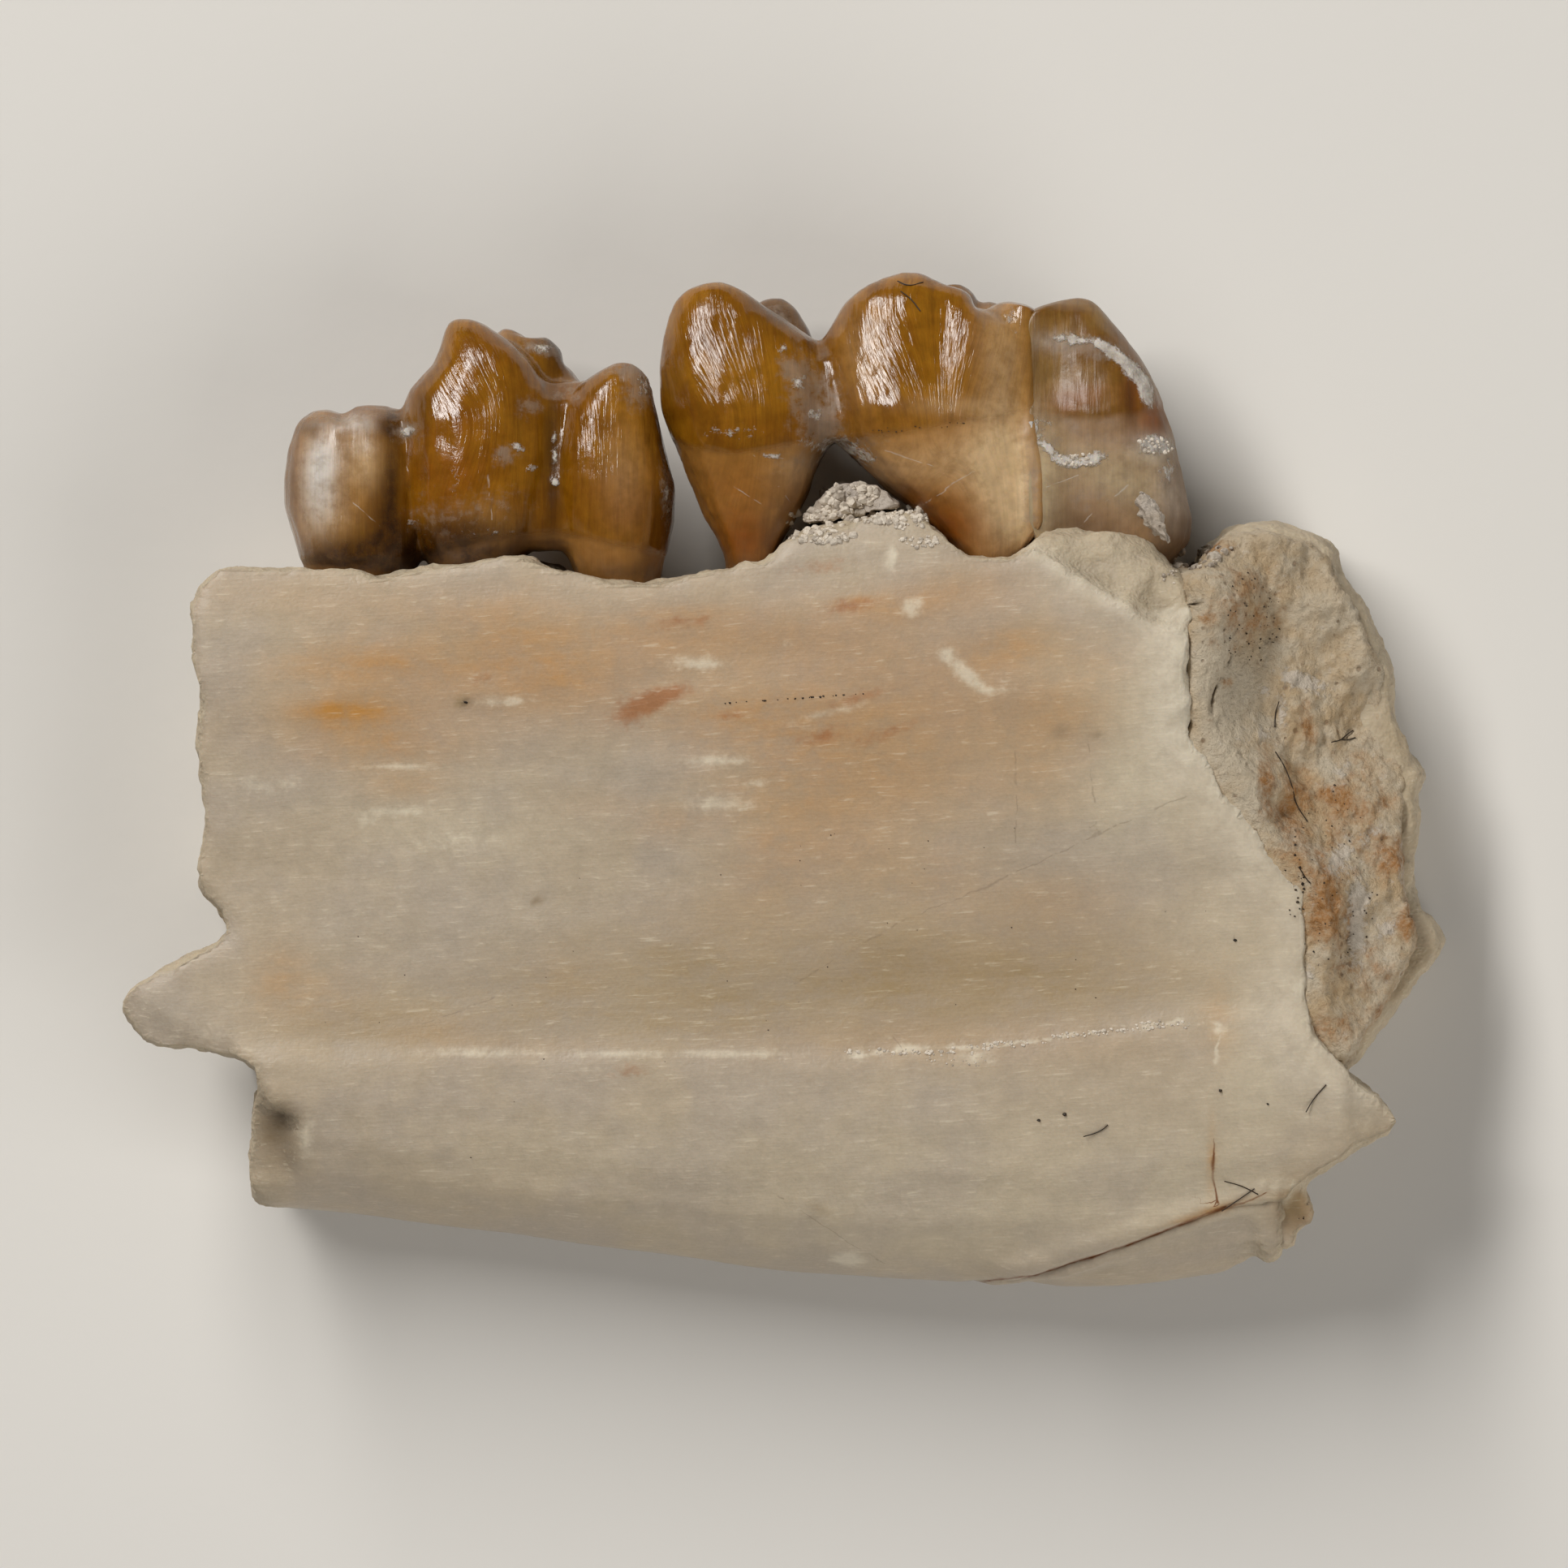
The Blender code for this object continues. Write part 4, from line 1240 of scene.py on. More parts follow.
    swells: Relief = Relief((4.5, 2.2, 3.0), 0.24, detail=2)
    grain: Relief = Relief((1.6, 0.45, 0.5), 0.022, detail=2, turn=3)
    torn: Relief = Relief((0.8, 0.6, 0.6), 0.40, Pattern.GRAINY, 3)
    crumbling: Relief = Relief((0.25, 0.25, 0.25), 0.12, Pattern.GRAINY, 2)
    ledge_crust: Relief = Relief((0.35, 0.2, 0.3), 0.12, Pattern.GRAINY, 2)
    corner_start: float = 4.35
    corner_fall: float = 0.8
    corner_relief: float = 0.2
    rear_rim: float = 3.05
    crack_closing: float = 0.22
    tip_shift: tuple[float, float] = (-0.6, 0.21)
    step_shift: float = -0.12

    def build(self) -> None:
        """Models the bone: worn skin, long swells, grain, rough breaks and a crusted ledge."""
        piece = self.start(rounds=3)
        self.slope_corner(piece)
        self.hollow_notch(piece)
        self.chip_spikes(piece)
        self.lift_rear(piece)
        self.close_crack(piece)
        self.level_ends(piece)
        work(piece, "REMESH", mode="VOXEL", voxel_size=self.voxel * MM)
        soften(piece, 1)
        places = places_of(piece)
        soften(piece, 12, band(places, self.plate_break, 0.4) * (places[:, 2] > 4.0))
        places = places_of(piece)
        rough = self.broken(places, normals_of(piece))
        off_floor = ramp(places[:, 2], 0.5, 0.8)
        for relief in (self.swells, self.grain):
            emboss(piece, relief, off_floor * (1 - rough))
        for relief in (self.torn, self.crumbling):
            emboss(piece, relief, off_floor * rough)
        places = places_of(piece)
        edge = band(places, self.ledge, 0.09) * (normals_of(piece)[:, 2] > 0.3) * (places[:, 0] > 1.2)
        emboss(piece, self.ledge_crust, edge)

    def corner(self, places: np.ndarray) -> np.ndarray:
        """How far each place is beyond the crest at the broken corner behind the last tooth."""
        beyond = np.clip(nearest(places, self.corner_crest)[0], 0, 2)
        return np.where((places[:, 0] > self.corner_start) & (places[:, 2] > OUTER_HALF), beyond, 0)

    def slope_corner(self, piece: Thing) -> None:
        """Lets the broken corner fall away from its crest.

        Args:
            piece: the bone.
        """
        beyond = self.corner(places_of(piece))
        swell(piece, 0.28 * ramp(beyond, 0.0, 0.12) + 0.72 * ramp(beyond, 0.0, 1.4), -self.corner_fall, "Z")
        places = places_of(piece)
        top = facing(piece, 2.0) * (places[:, 2] > OUTER_HALF)
        for marks, sign in ((self.corner_lumps, 1), (self.corner_hollows, -1)):
            swell(piece, np.clip(patches(places, marks), 0, 1) * top, sign * self.corner_relief, "Z")

    def hollow_notch(self, piece: Thing) -> None:
        """Makes the chipped front corner a hollow that runs out towards the lower border.

        Args:
            piece: the bone.
        """
        places = places_of(piece)
        x, y, z = places.T
        rows = (5.75, 6.2, 6.65, 7.1, 7.58, 7.89, 8.04)
        plate = np.interp(-y, rows, (4.92, 4.87, 4.73, 4.44, 4.03, 3.58, 3.2))
        inside = ramp(nearest(places, self.notch_edge)[0], 0.0, -0.2)
        depth = np.interp(-y, rows, (0.3, 0.42, 0.5, 0.32, 0.08, 0.0, 0.0)) * inside**2 * (3 - 2 * inside)
        share = ramp(x, -8.85, -0.25) * ramp(y, -8.12, 0.2) * ramp(y, -5.68, -0.08)
        share *= np.maximum(ramp(x, -10.02, 0.12), facing(piece, 2.0)) * (z > OUTER_HALF)
        settle(piece, plate - depth, share)
        soften(piece, 4, np.clip(Patch(-9.6, -6.9, 0.8, 1.1).field(places) * 1.5, 0, 1) * (z > 2.3))

    def chip_spikes(self, piece: Thing) -> None:
        """Takes a flat chip off the tip of each spike.

        Args:
            piece: the bone.
        """
        places = places_of(piece)
        for line, depth in self.chips:
            beyond = ramp(nearest(places, line)[0], 0.0, 0.2)
            tip = np.hypot(places[:, 0] - line[1][0], places[:, 1] - line[1][1]) < 1.2
            swell(piece, beyond * tip * (places[:, 2] > OUTER_HALF), -depth, "Z")

    def lift_rear(self, piece: Thing) -> None:
        """Raises the rim of the inner wall behind the break, up to the sediment that lies on it.

        Args:
            piece: the bone.
        """
        places = places_of(piece)
        behind = ramp(nearest(places, self.plate_break)[0], 0.0, 0.3) * (places[:, 0] > 7.3)
        top = (places[:, 2] > 1.0) & (places[:, 2] < OUTER_HALF) & (normals_of(piece)[:, 2] > 0.25)
        settle(piece, np.full(len(places), self.rear_rim), behind * top)
        soften(piece, 6, behind * (places[:, 2] > 0.6))

    def close_crack(self, piece: Thing) -> None:
        """Draws the walls of the open crack along the lower border together.

        Args:
            piece: either side of the crack.
        """
        places, normals = places_of(piece), normals_of(piece)
        wall = np.clip(np.hypot(normals[:, 0], normals[:, 1]) * 1.6 - 0.5, 0, 1) * (places[:, 2] > 1.8)
        off = np.abs(nearest(places, self.open_crack)[0])
        swell(piece, wall * ramp(off, 0.36, -0.1) * ramp(places[:, 0], 3.6, 0.7), self.crack_closing)

    def level_ends(self, piece: Thing) -> None:
        """Brings the splinter's thin tip and the stepped piece beyond it up to the bone's own surface.

        Args:
            piece: either piece of bone.
        """
        x, y, z = places_of(piece).T
        if self.node == "ventral_flake":
            border = np.interp(-y, (9.0, 9.25, 9.45, 9.65), (3.9, 3.7, 3.5, 3.15))
            settle(piece, border, facing(piece, 2.0) * ramp(x, 4.75, -0.4) * (z > 2.0))
            swell(piece, ramp(x, 5.1, -1.4), self.tip_shift[0], "X")
            swell(piece, ramp(places_of(piece)[:, 0], 5.2, -1.4), self.tip_shift[1], "Y")
            return
        step = (x > 9.0) & (y < -7.3) & (z > 2.9) & (z < 4.0)
        settle(piece, 4.5 + (y + 7.6) * 0.5, step.astype(float))
        x, y, z = places_of(piece).T
        edge = ramp(x, 9.35, -0.15) * (x > 8.95) * (y < -7.75) * (z > OUTER_HALF)
        swell(piece, edge, self.step_shift, "X")

    def broken(self, places: np.ndarray, normals: np.ndarray) -> np.ndarray:
        """Finds the faces where the bone broke.

        Args:
            places: one row of millimetres per vertex.
            normals: one unit normal per vertex.

        Returns:
            1 on a break, 0 on the jaw's own skin.
        """
        x, y, _ = places.T
        above = y - np.interp(x, *zip(*self.lower_border))
        skin = ramp(x, -9.9, 0.5) * ramp(x, 9.0, -0.7) * (above < 1.6)
        steep = ramp(np.abs(normals[:, 2]), 0.82, -0.3)
        chipped = ramp(self.corner(places), 0.0, 0.1)
        rear = ramp(nearest(places, self.plate_break)[0], 0.0, 0.3) * (x > 7.6)
        return np.maximum.reduce((steep * (1 - skin), chipped, rear * 0.8))

    def dress(self, material: bpy.types.Material) -> None:
        """Paints the stains, the painted shade and light, breaks and fine lines, and dresses the piece.

        Args:
            material: the bone's finish.
        """
        piece = self.thing
        places = places_of(piece)
        x, y, z = places.T
        outer = ramp(z, 1.9, 0.5)
        # Painted patches: most are the bone's own colour, but the shade patches and some dirt patches are
        # painted shade, and some cream patches are painted light.
        for name in ("tan", "rust", "smear", "grey", "pale", "shade", "cream", "dirt_and_shade"):
            paint(piece, name, patches(places, getattr(self, name)) * outer)
        paint(piece, "broken", self.broken(places, normals_of(piece)))
        off = np.abs(nearest(places, self.plate_break)[0])
        chalk = np.exp(-((np.clip(off - 0.1, 0, FAR) / 0.75) ** 2)) * (y < 3.3)
        chalk *= np.interp(y, (-4.5, -2.5, 0.5, 1.5), (0.5, 0.4, 0.8, 1.0))
        rim = band(places, self.corner_crest, 0.16) * (x > self.corner_start)
        paint(piece, "chalk", np.maximum(chalk, rim * 0.7) * outer * (z > 4.2))
        trace(piece, "crack", self.cracks)
        trace(piece, "brown", self.brown)
        trace(piece, "ledge", [self.ledge[2:], self.ledge_hook])
        self.close(material)


@dataclass
class Tooth(Piece):
    """A cheek tooth: crown with wrinkled enamel, base line, duller roots, painted shade and what sticks to
    it.
    """

    voxel: float = 0.1
    enamel_line: tuple[Point, ...] = ()
    cream: tuple[Patch, ...] = ()
    orange: tuple[Patch, ...] = ()
    # Painted shade: the grooves between lobes, the dents and the base along the bone.
    painted_shade: tuple[Patch, ...] = ()
    grey: tuple[Patch, ...] = ()
    crust: tuple[Patch, ...] = ()
    white: tuple[Patch, ...] = ()
    dents: tuple[Patch, ...] = ()
    scratches: tuple[tuple[Point, ...], ...] = ()
    wrinkled: tuple[tuple[Patch, float, float], ...] = ()
    fans: tuple[tuple[Patch, Point, float], ...] = ()
    joint: tuple[Point, ...] = ()
    swells: Relief = Relief((1.1, 1.5, 1.1), 0.12, detail=2)
    wrinkles: Relief = Relief((0.16, 1.1, 0.3), 0.016, detail=1, turn=-3)
    root_grain: Relief = Relief((0.5, 0.5, 0.5), 0.08, Pattern.GRAINY, 2)
    crust_grain: Relief = Relief((0.12, 0.12, 0.12), 0.13, Pattern.GRAINY, 2)
    crown_step: float = 0.035
    dent_depth: float = 0.35
    crust_lift: float = 0.015
    joint_pull: float = 0.36
    joint_fall: float = 0.8

    def below(self, places: np.ndarray) -> np.ndarray:
        """How far each place is below the line where the enamel ends, negative on the crown."""
        return np.interp(places[:, 0], *zip(*self.enamel_line)) - places[:, 1]

    def build(self) -> None:
        """Models the tooth: worn skin, a wrinkled crown, a step at its base and crust that stands out."""
        piece = self.start(rounds=3)
        if self.joint:
            self.fuse(piece)
        work(piece, "SUBSURF", levels=1, render_levels=1)
        places = places_of(piece)
        crown = np.clip(-self.below(places) / 0.15 + 0.5, 0, 1)
        emboss(piece, self.swells)
        emboss(piece, self.wrinkles, crown)
        for spot, turn, depth in self.wrinkled:
            strands = Relief((0.13, 0.9, 0.3), depth, detail=2, turn=turn)
            emboss(piece, strands, np.clip(spot.field(places), 0, 1))
        emboss(piece, self.root_grain, 1 - crown)
        swell(piece, crown, self.crown_step)
        places = places_of(piece)
        if self.dents:
            swell(piece, np.clip(patches(places, self.dents), 0, 1), -self.dent_depth)
        thick = np.clip(patches(places, self.crust), 0, 1) * (places[:, 2] > 2.2)
        swell(piece, thick, self.crust_lift)
        emboss(piece, self.crust_grain, thick)

    def fuse(self, piece: Thing) -> None:
        """Draws the side that meets the next tooth over the joint, so that only a shallow groove is left.

        Args:
            piece: the tooth.
        """
        x, y, z = places_of(piece).T
        rows = (4.2, 5.2, 6.6, 7.3, 9.2)
        joint = np.interp(y, *zip(*self.joint))
        off = np.abs(x - joint)
        near = np.clip(1 - (off - 0.2) / 0.6, 0, 1)
        settle(piece, np.interp(y, rows, (4.3, 4.45, 4.42, 4.2, 4.0)), near * facing(piece, 4.0) * (z > 3.0))
        side = np.sign(joint.mean() - x.mean())
        swell(piece, np.clip(1 - (off - 0.05) / 0.75, 0, 1) * (z > 1.2), side * self.joint_pull, "X")
        x, y, z = places_of(piece).T
        past = side * (x - joint)
        beneath, turn = (0.03, 0.22) if side < 0 else (0.0, -0.04)
        target = np.interp(y, rows, (4.3, 4.45, 4.42, 4.15, 3.95))
        target = target - beneath - self.joint_fall * np.clip(past - turn, 0, 1)
        proud = (past > turn - 0.06) & (z > target)
        share = ramp(past, -0.5, 0.4) * facing(piece, 4.0)
        settle(piece, target, np.maximum(share, proud) * (z > 3.0))

    def dress(self, material: bpy.types.Material) -> None:
        """Paints roots, painted shade and crust, and dresses the tooth.

        Args:
            material: the tooth's finish.
        """
        piece = self.thing
        places = places_of(piece)
        outer = ramp(places[:, 2], 1.6, 0.6)
        paint(piece, "root", np.clip(self.below(places) / 0.12 + 0.5, 0, 1))
        for name in ("cream", "white", "orange", "grey", "crust"):
            paint(piece, name, np.clip(patches(places, getattr(self, name)), 0, 1.5) * outer)
        # Painted shade, darker down the sides towards the floor, added to the painted patches.
        deep = ramp(places[:, 2], 2.6, -1.4) * 0.6
        paint(piece, "painted_shade", np.clip(patches(places, self.painted_shade) * outer + deep, 0, 1))
        trace(piece, "scratch", self.scratches)
        across, strands = places[:, 0].copy(), np.zeros(len(places))
        for spot, (x, y), radius in self.fans:
            share = np.clip(spot.field(places) * 1.4, 0, 1)
            angle = np.arctan2(places[:, 0] - x, places[:, 1] - y)
            across += share * (radius * angle + x - places[:, 0])
            strands = np.maximum(strands, share)
        paint(piece, "across", across)
        paint(piece, "strands", strands)
        self.close(material)


def premolar() -> Tooth:
    """The front tooth: a broken stump, two worn lobes and a chipped cusp.

    Returns:
        The tooth, not yet built.
    """
    return Tooth(
        "premolar", "broken_premolar", Slot.ENAMEL,
        enamel_line=((-9.64, 4.2), (-7.5, 4.2), (-5.66, 4.63), (-4.28, 4.74), (-2.14, 4.29)),
        cream=spots(
            (-7.99, 6.01, 0.4, 0.52, 0.6), (-8.49, 4.96, 0.61, 0.46, 0.2), (-8.84, 5.58, 0.46, 1.07, 0.4),
            (-5.81, 4.96, 0.61, 0.31, 0.15), (-3.09, 5.73, 0.4, 0.92, 0.25),
        ),
        orange=spots(
            (-3.14, 5.27, 0.46, 0.69, 0.25), (-6.5, 5.81, 0.61, 0.92, 0.35), (-6.04, 6.19, 0.46, 1.38, 0.2),
            (-7.5, 4.74, 0.31, 0.46, 0.4),
        ),
        # Painted shade in the grooves, dents and along the base.
        painted_shade=spots(
            (-7.47, 5.73, 0.21, 1.38, 0.8), (-6.27, 4.23, 1.84, 0.52, 1.0), (-4.44, 6.19, 0.18, 1.68, 0.9),
            (-4.28, 8.25, 0.7, 0.4, 0.75, -25), (-2.2, 5.73, 0.18, 1.38, 0.6), (-3.06, 3.96, 1.07, 0.21, 0.6),
            (-8.19, 4.2, 1.22, 0.21, 0.5), (-5.05, 7.11, 0.21, 0.92, 0.3), (-9.06, 6.74, 0.28, 0.21, 0.6),
            (-9.42, 5.58, 0.15, 0.92, 0.4), (-6.88, 7.11, 0.21, 0.46, 0.45), (-7.5, 6.8, 0.34, 0.28, 0.7),
            (-6.27, 4.81, 1.07, 0.31, 0.5), (-8.57, 4.35, 1.07, 0.34, 0.6), (-7.73, 4.96, 0.31, 0.77, 0.5),
            (-6.66, 8.18, 0.18, 0.61, 0.3),
        ),
        grey=spots(
            (-4.74, 8.25, 0.46, 0.15, 0.8, -15), (-7.19, 6.65, 0.28, 0.21, 0.9),
            (-5.32, 6.19, 0.24, 0.18, 0.8), (-4.87, 7.11, 0.24, 0.21, 0.7), (-8.72, 6.8, 0.61, 0.18, 0.7),
            (-2.75, 7.41, 0.4, 0.37, 0.8), (-2.29, 5.58, 0.18, 0.92, 0.5), (-2.91, 7.8, 0.61, 0.15, 0.7),
            (-4.13, 7.41, 0.28, 0.31, 0.5), (-5.66, 5.27, 0.92, 0.46, 0.35), (-6.73, 4.96, 0.61, 0.46, 0.3),
        ),
        crust=spots(
            (-4.39, 6.19, 0.06, 0.11, 0.9), (-4.39, 5.7, 0.08, 0.08, 1.0), (-4.39, 6.53, 0.05, 0.09, 0.7),
            (-2.65, 7.57, 0.18, 0.31, 0.6), (-7.19, 6.65, 0.14, 0.12, 0.7), (-5.05, 6.34, 0.14, 0.09, 0.7),
            (-4.82, 5.96, 0.09, 0.09, 0.7), (-7.11, 4.96, 0.14, 0.09, 0.5), (-4.67, 8.25, 0.24, 0.11, 0.6),
            (-2.29, 5.42, 0.12, 0.46, 0.45), (-6.27, 5.58, 0.08, 0.46, 0.3), (-5.66, 4.74, 0.46, 0.08, 0.4),
        ),
        white=spots(
            (-8.87, 5.58, 0.31, 0.8, 0.85), (-8.75, 6.19, 0.31, 0.46, 0.6), (-8.11, 6.8, 0.4, 0.21, 0.7),
            (-8.02, 6.37, 0.28, 0.21, 0.3),
        ),
        dents=spots(
            (-4.82, 8.67, 0.34, 0.15, 0.6), (-4.04, 8.15, 0.18, 0.24, 0.6), (-8.41, 7.03, 0.21, 0.15, 0.5),
        ),
        scratches=(
            ((-8.26, 5.35), (-7.65, 4.81)), ((-3.52, 6.8), (-3.49, 5.73)), ((-5.66, 5.88), (-5.57, 4.96)),
        ),
        fans=(
            (Patch(-5.89, 7.87, 0.77, 1.38), (-4.28, 4.58), 3.5),
            (Patch(-3.44, 6.8, 0.46, 1.07), (-3.44, 0.99), 5.8),
        ),
    )


def front_molar() -> Tooth:
    """The whole two-lobed molar.

    Returns:
        The tooth, not yet built.
    """
    return Tooth(
        "front_molar", "whole_molar", Slot.ENAMEL,
        enamel_line=(
            (-2.37, 6.65), (-1.84, 6.37), (-0.99, 6.23), (-0.15, 6.34), (0.61, 6.49), (1.53, 6.53),
            (2.45, 6.66), (3.21, 6.79), (3.98, 6.88), (4.67, 7.11),
        ),
        cream=spots(
            (4.1, 5.64, 0.58, 1.13, 1.1), (4.28, 4.96, 0.31, 0.46, 0.8), (3.75, 6.19, 0.92, 0.61, 0.4),
            (4.05, 8.02, 0.46, 1.38, 0.45), (2.29, 5.96, 1.38, 0.49, 0.35), (0.31, 5.88, 0.61, 0.34, 0.35),
            (1.38, 8.02, 0.37, 0.92, 0.2), (-0.15, 4.96, 0.46, 0.46, 0.15), (3.06, 7.11, 0.92, 0.18, 0.25),
        ),
        orange=spots(
            (-0.84, 4.58, 0.58, 0.61, 0.9), (2.98, 4.74, 0.61, 0.61, 1.0, -35),
            (2.37, 5.35, 0.4, 0.24, 0.6, -35), (-1.07, 5.58, 0.92, 0.46, 0.25),
        ),
        # Painted shade in the grooves, dents and along the base.
        painted_shade=spots(
            (0.69, 7.41, 0.15, 1.38, 0.5), (-0.18, 8.94, 0.61, 0.4, 0.7, -35), (0.54, 6.19, 0.31, 0.24, 0.5),
            (1.99, 5.58, 0.4, 0.15, 0.5, -30), (-0.99, 4.12, 0.61, 0.18, 0.6), (-2.14, 7.41, 0.15, 0.92, 0.3),
            (3.44, 4.12, 0.77, 0.15, 0.6), (4.62, 8.02, 0.14, 0.77, 0.3), (4.68, 6.49, 0.12, 1.68, 0.3),
        ),
        grey=spots(
            (0.34, 7.41, 0.37, 0.77, 0.8), (0.64, 6.72, 0.28, 0.37, 0.8), (0.03, 7.8, 0.21, 0.21, 0.7),
            (-0.18, 8.94, 0.46, 0.15, 0.6, -35), (1.38, 6.42, 0.46, 0.15, 0.5), (0.92, 7.11, 0.21, 0.61, 0.5),
            (0.31, 6.04, 0.61, 0.21, 0.4), (4.62, 5.42, 0.24, 1.07, 0.45),
        ),
        crust=spots(
            (0.98, 6.34, 0.34, 0.24, 0.8), (-0.99, 6.62, 0.61, 0.12, 0.4), (-0.28, 6.16, 0.18, 0.06, 0.8),
            (1.5, 6.16, 0.28, 0.15, 0.55, -30), (4.21, 8.76, 0.12, 0.31, 0.45), (0.23, 7.57, 0.15, 0.15, 0.6),
            (-0.08, 8.18, 0.12, 0.12, 0.5), (0.54, 6.95, 0.15, 0.12, 0.6), (1.25, 5.88, 0.24, 0.18, 0.6),
            (0.69, 6.04, 0.15, 0.15, 0.5), (0.38, 6.42, 0.24, 0.12, 0.45),
        ),
        joint=MOLAR_JOINT,
        dents=spots((3.67, 9.16, 0.15, 0.21, 0.4), (2.91, 8.58, 0.34, 0.95, 0.48)),
        wrinkled=(
            (Patch(2.07, 8.25, 0.67, 1.22), 14.0, 0.035),
            (Patch(3.52, 8.18, 0.7, 1.07), -24.0, 0.035),
            (Patch(-0.84, 7.26, 0.55, 0.92, 0.9), 10.0, 0.03),
        ),
        fans=(
            (Patch(2.72, 8.33, 1.38, 1.53), (2.94, 6.23), 2.0),
            (Patch(-1.07, 8.02, 0.92, 1.68), (0.61, 3.51), 5.0),
        ),
        scratches=(
            ((-0.61, 6.16), (-0.08, 6.11)), ((-0.15, 5.58), (0.46, 4.81)), ((2.98, 5.55), (3.52, 5.88)),
            ((-0.99, 5.58), (-0.38, 5.19)), ((1.84, 6.27), (2.75, 5.96)), ((2.45, 5.19), (2.98, 5.5)),
        ),
    )


def rear_molar() -> Tooth:
    """The broken molar behind, of which one lobe is left.

    Returns:
        The tooth, not yet built.
    """
    return Tooth(
        "rear_molar", "crusted_molar", Slot.WORN,
        enamel_line=(
            (4.13, 6.92), (4.67, 6.98), (5.05, 6.95), (5.81, 6.89), (6.58, 6.98), (7.19, 7.17), (8.11, 7.41),
        ),
        cream=spots(
            (6.04, 5.81, 0.61, 0.37, 0.7), (4.82, 5.88, 0.46, 1.22, 0.9), (5.66, 6.19, 0.46, 0.31, 0.4),
            (6.96, 5.73, 0.46, 0.77, 0.3), (6.73, 6.19, 0.46, 0.21, 0.5), (4.59, 5.12, 0.34, 0.61, 0.9),
            (6.55, 5.49, 0.52, 0.4, 0.55),
        ),
        orange=spots(
            (6.92, 6.88, 0.28, 0.37, 0.9), (6.5, 7.41, 0.18, 0.61, 0.7), (5.32, 7.11, 0.28, 0.18, 0.5),
            (5.66, 7.34, 0.77, 0.24, 0.4),
        ),
        # Painted shade in the grooves and along the base.
        painted_shade=spots(
            (6.46, 7.23, 0.14, 0.55, 0.7), (4.67, 7.87, 0.15, 0.77, 0.35), (6.58, 8.71, 0.61, 0.21, 0.5, -50),
            (5.66, 4.05, 1.84, 0.24, 0.6), (7.57, 4.81, 0.21, 0.46, 0.5), (7.07, 6.8, 0.12, 0.31, 0.4),
            (5.2, 5.12, 0.46, 0.46, 0.25), (5.74, 4.74, 0.61, 0.31, 0.3), (6.12, 4.48, 0.24, 0.12, 0.6),
            (7.42, 5.88, 0.21, 0.46, 0.3),
        ),
        grey=spots(
            (5.51, 8.25, 0.55, 0.18, 0.6), (6.12, 8.1, 0.46, 0.24, 0.5), (7.19, 5.58, 0.46, 0.77, 0.5),
            (4.97, 6.49, 0.31, 0.21, 0.5), (5.74, 5.42, 0.61, 0.31, 0.4),
        ),
        crust=spots(
            (5.39, 8.38, 0.4, 0.11, 0.8, -8), (6.06, 8.18, 0.31, 0.11, 1.1, -35),
            (6.47, 7.84, 0.34, 0.14, 1.2, -45), (6.78, 7.41, 0.14, 0.31, 1.2, 15),
            (6.96, 6.4, 0.37, 0.17, 1.0), (5.58, 6.05, 0.37, 0.11, 0.9, 4), (4.93, 6.3, 0.24, 0.11, 0.9, -40),
            (4.59, 6.74, 0.14, 0.28, 0.8, 15), (5.23, 6.11, 0.21, 0.09, 0.7), (7.19, 5.88, 0.21, 0.31, 0.5),
            (5.84, 6.19, 0.15, 0.12, 0.7), (4.9, 6.8, 0.15, 0.12, 0.5),
        ),
        white=spots(
            (6.96, 6.42, 0.46, 0.28, 0.7), (7.34, 5.42, 0.4, 0.77, 0.35), (5.05, 8.33, 0.46, 0.18, 0.3),
        ),
        joint=MOLAR_JOINT,
        scratches=(
            ((6.58, 5.76), (6.24, 5.45), (5.89, 5.24), (5.39, 4.69)), ((4.9, 5.58), (5.51, 5.81)),
            ((4.51, 6.95), (4.97, 6.27)),
        ),
    )


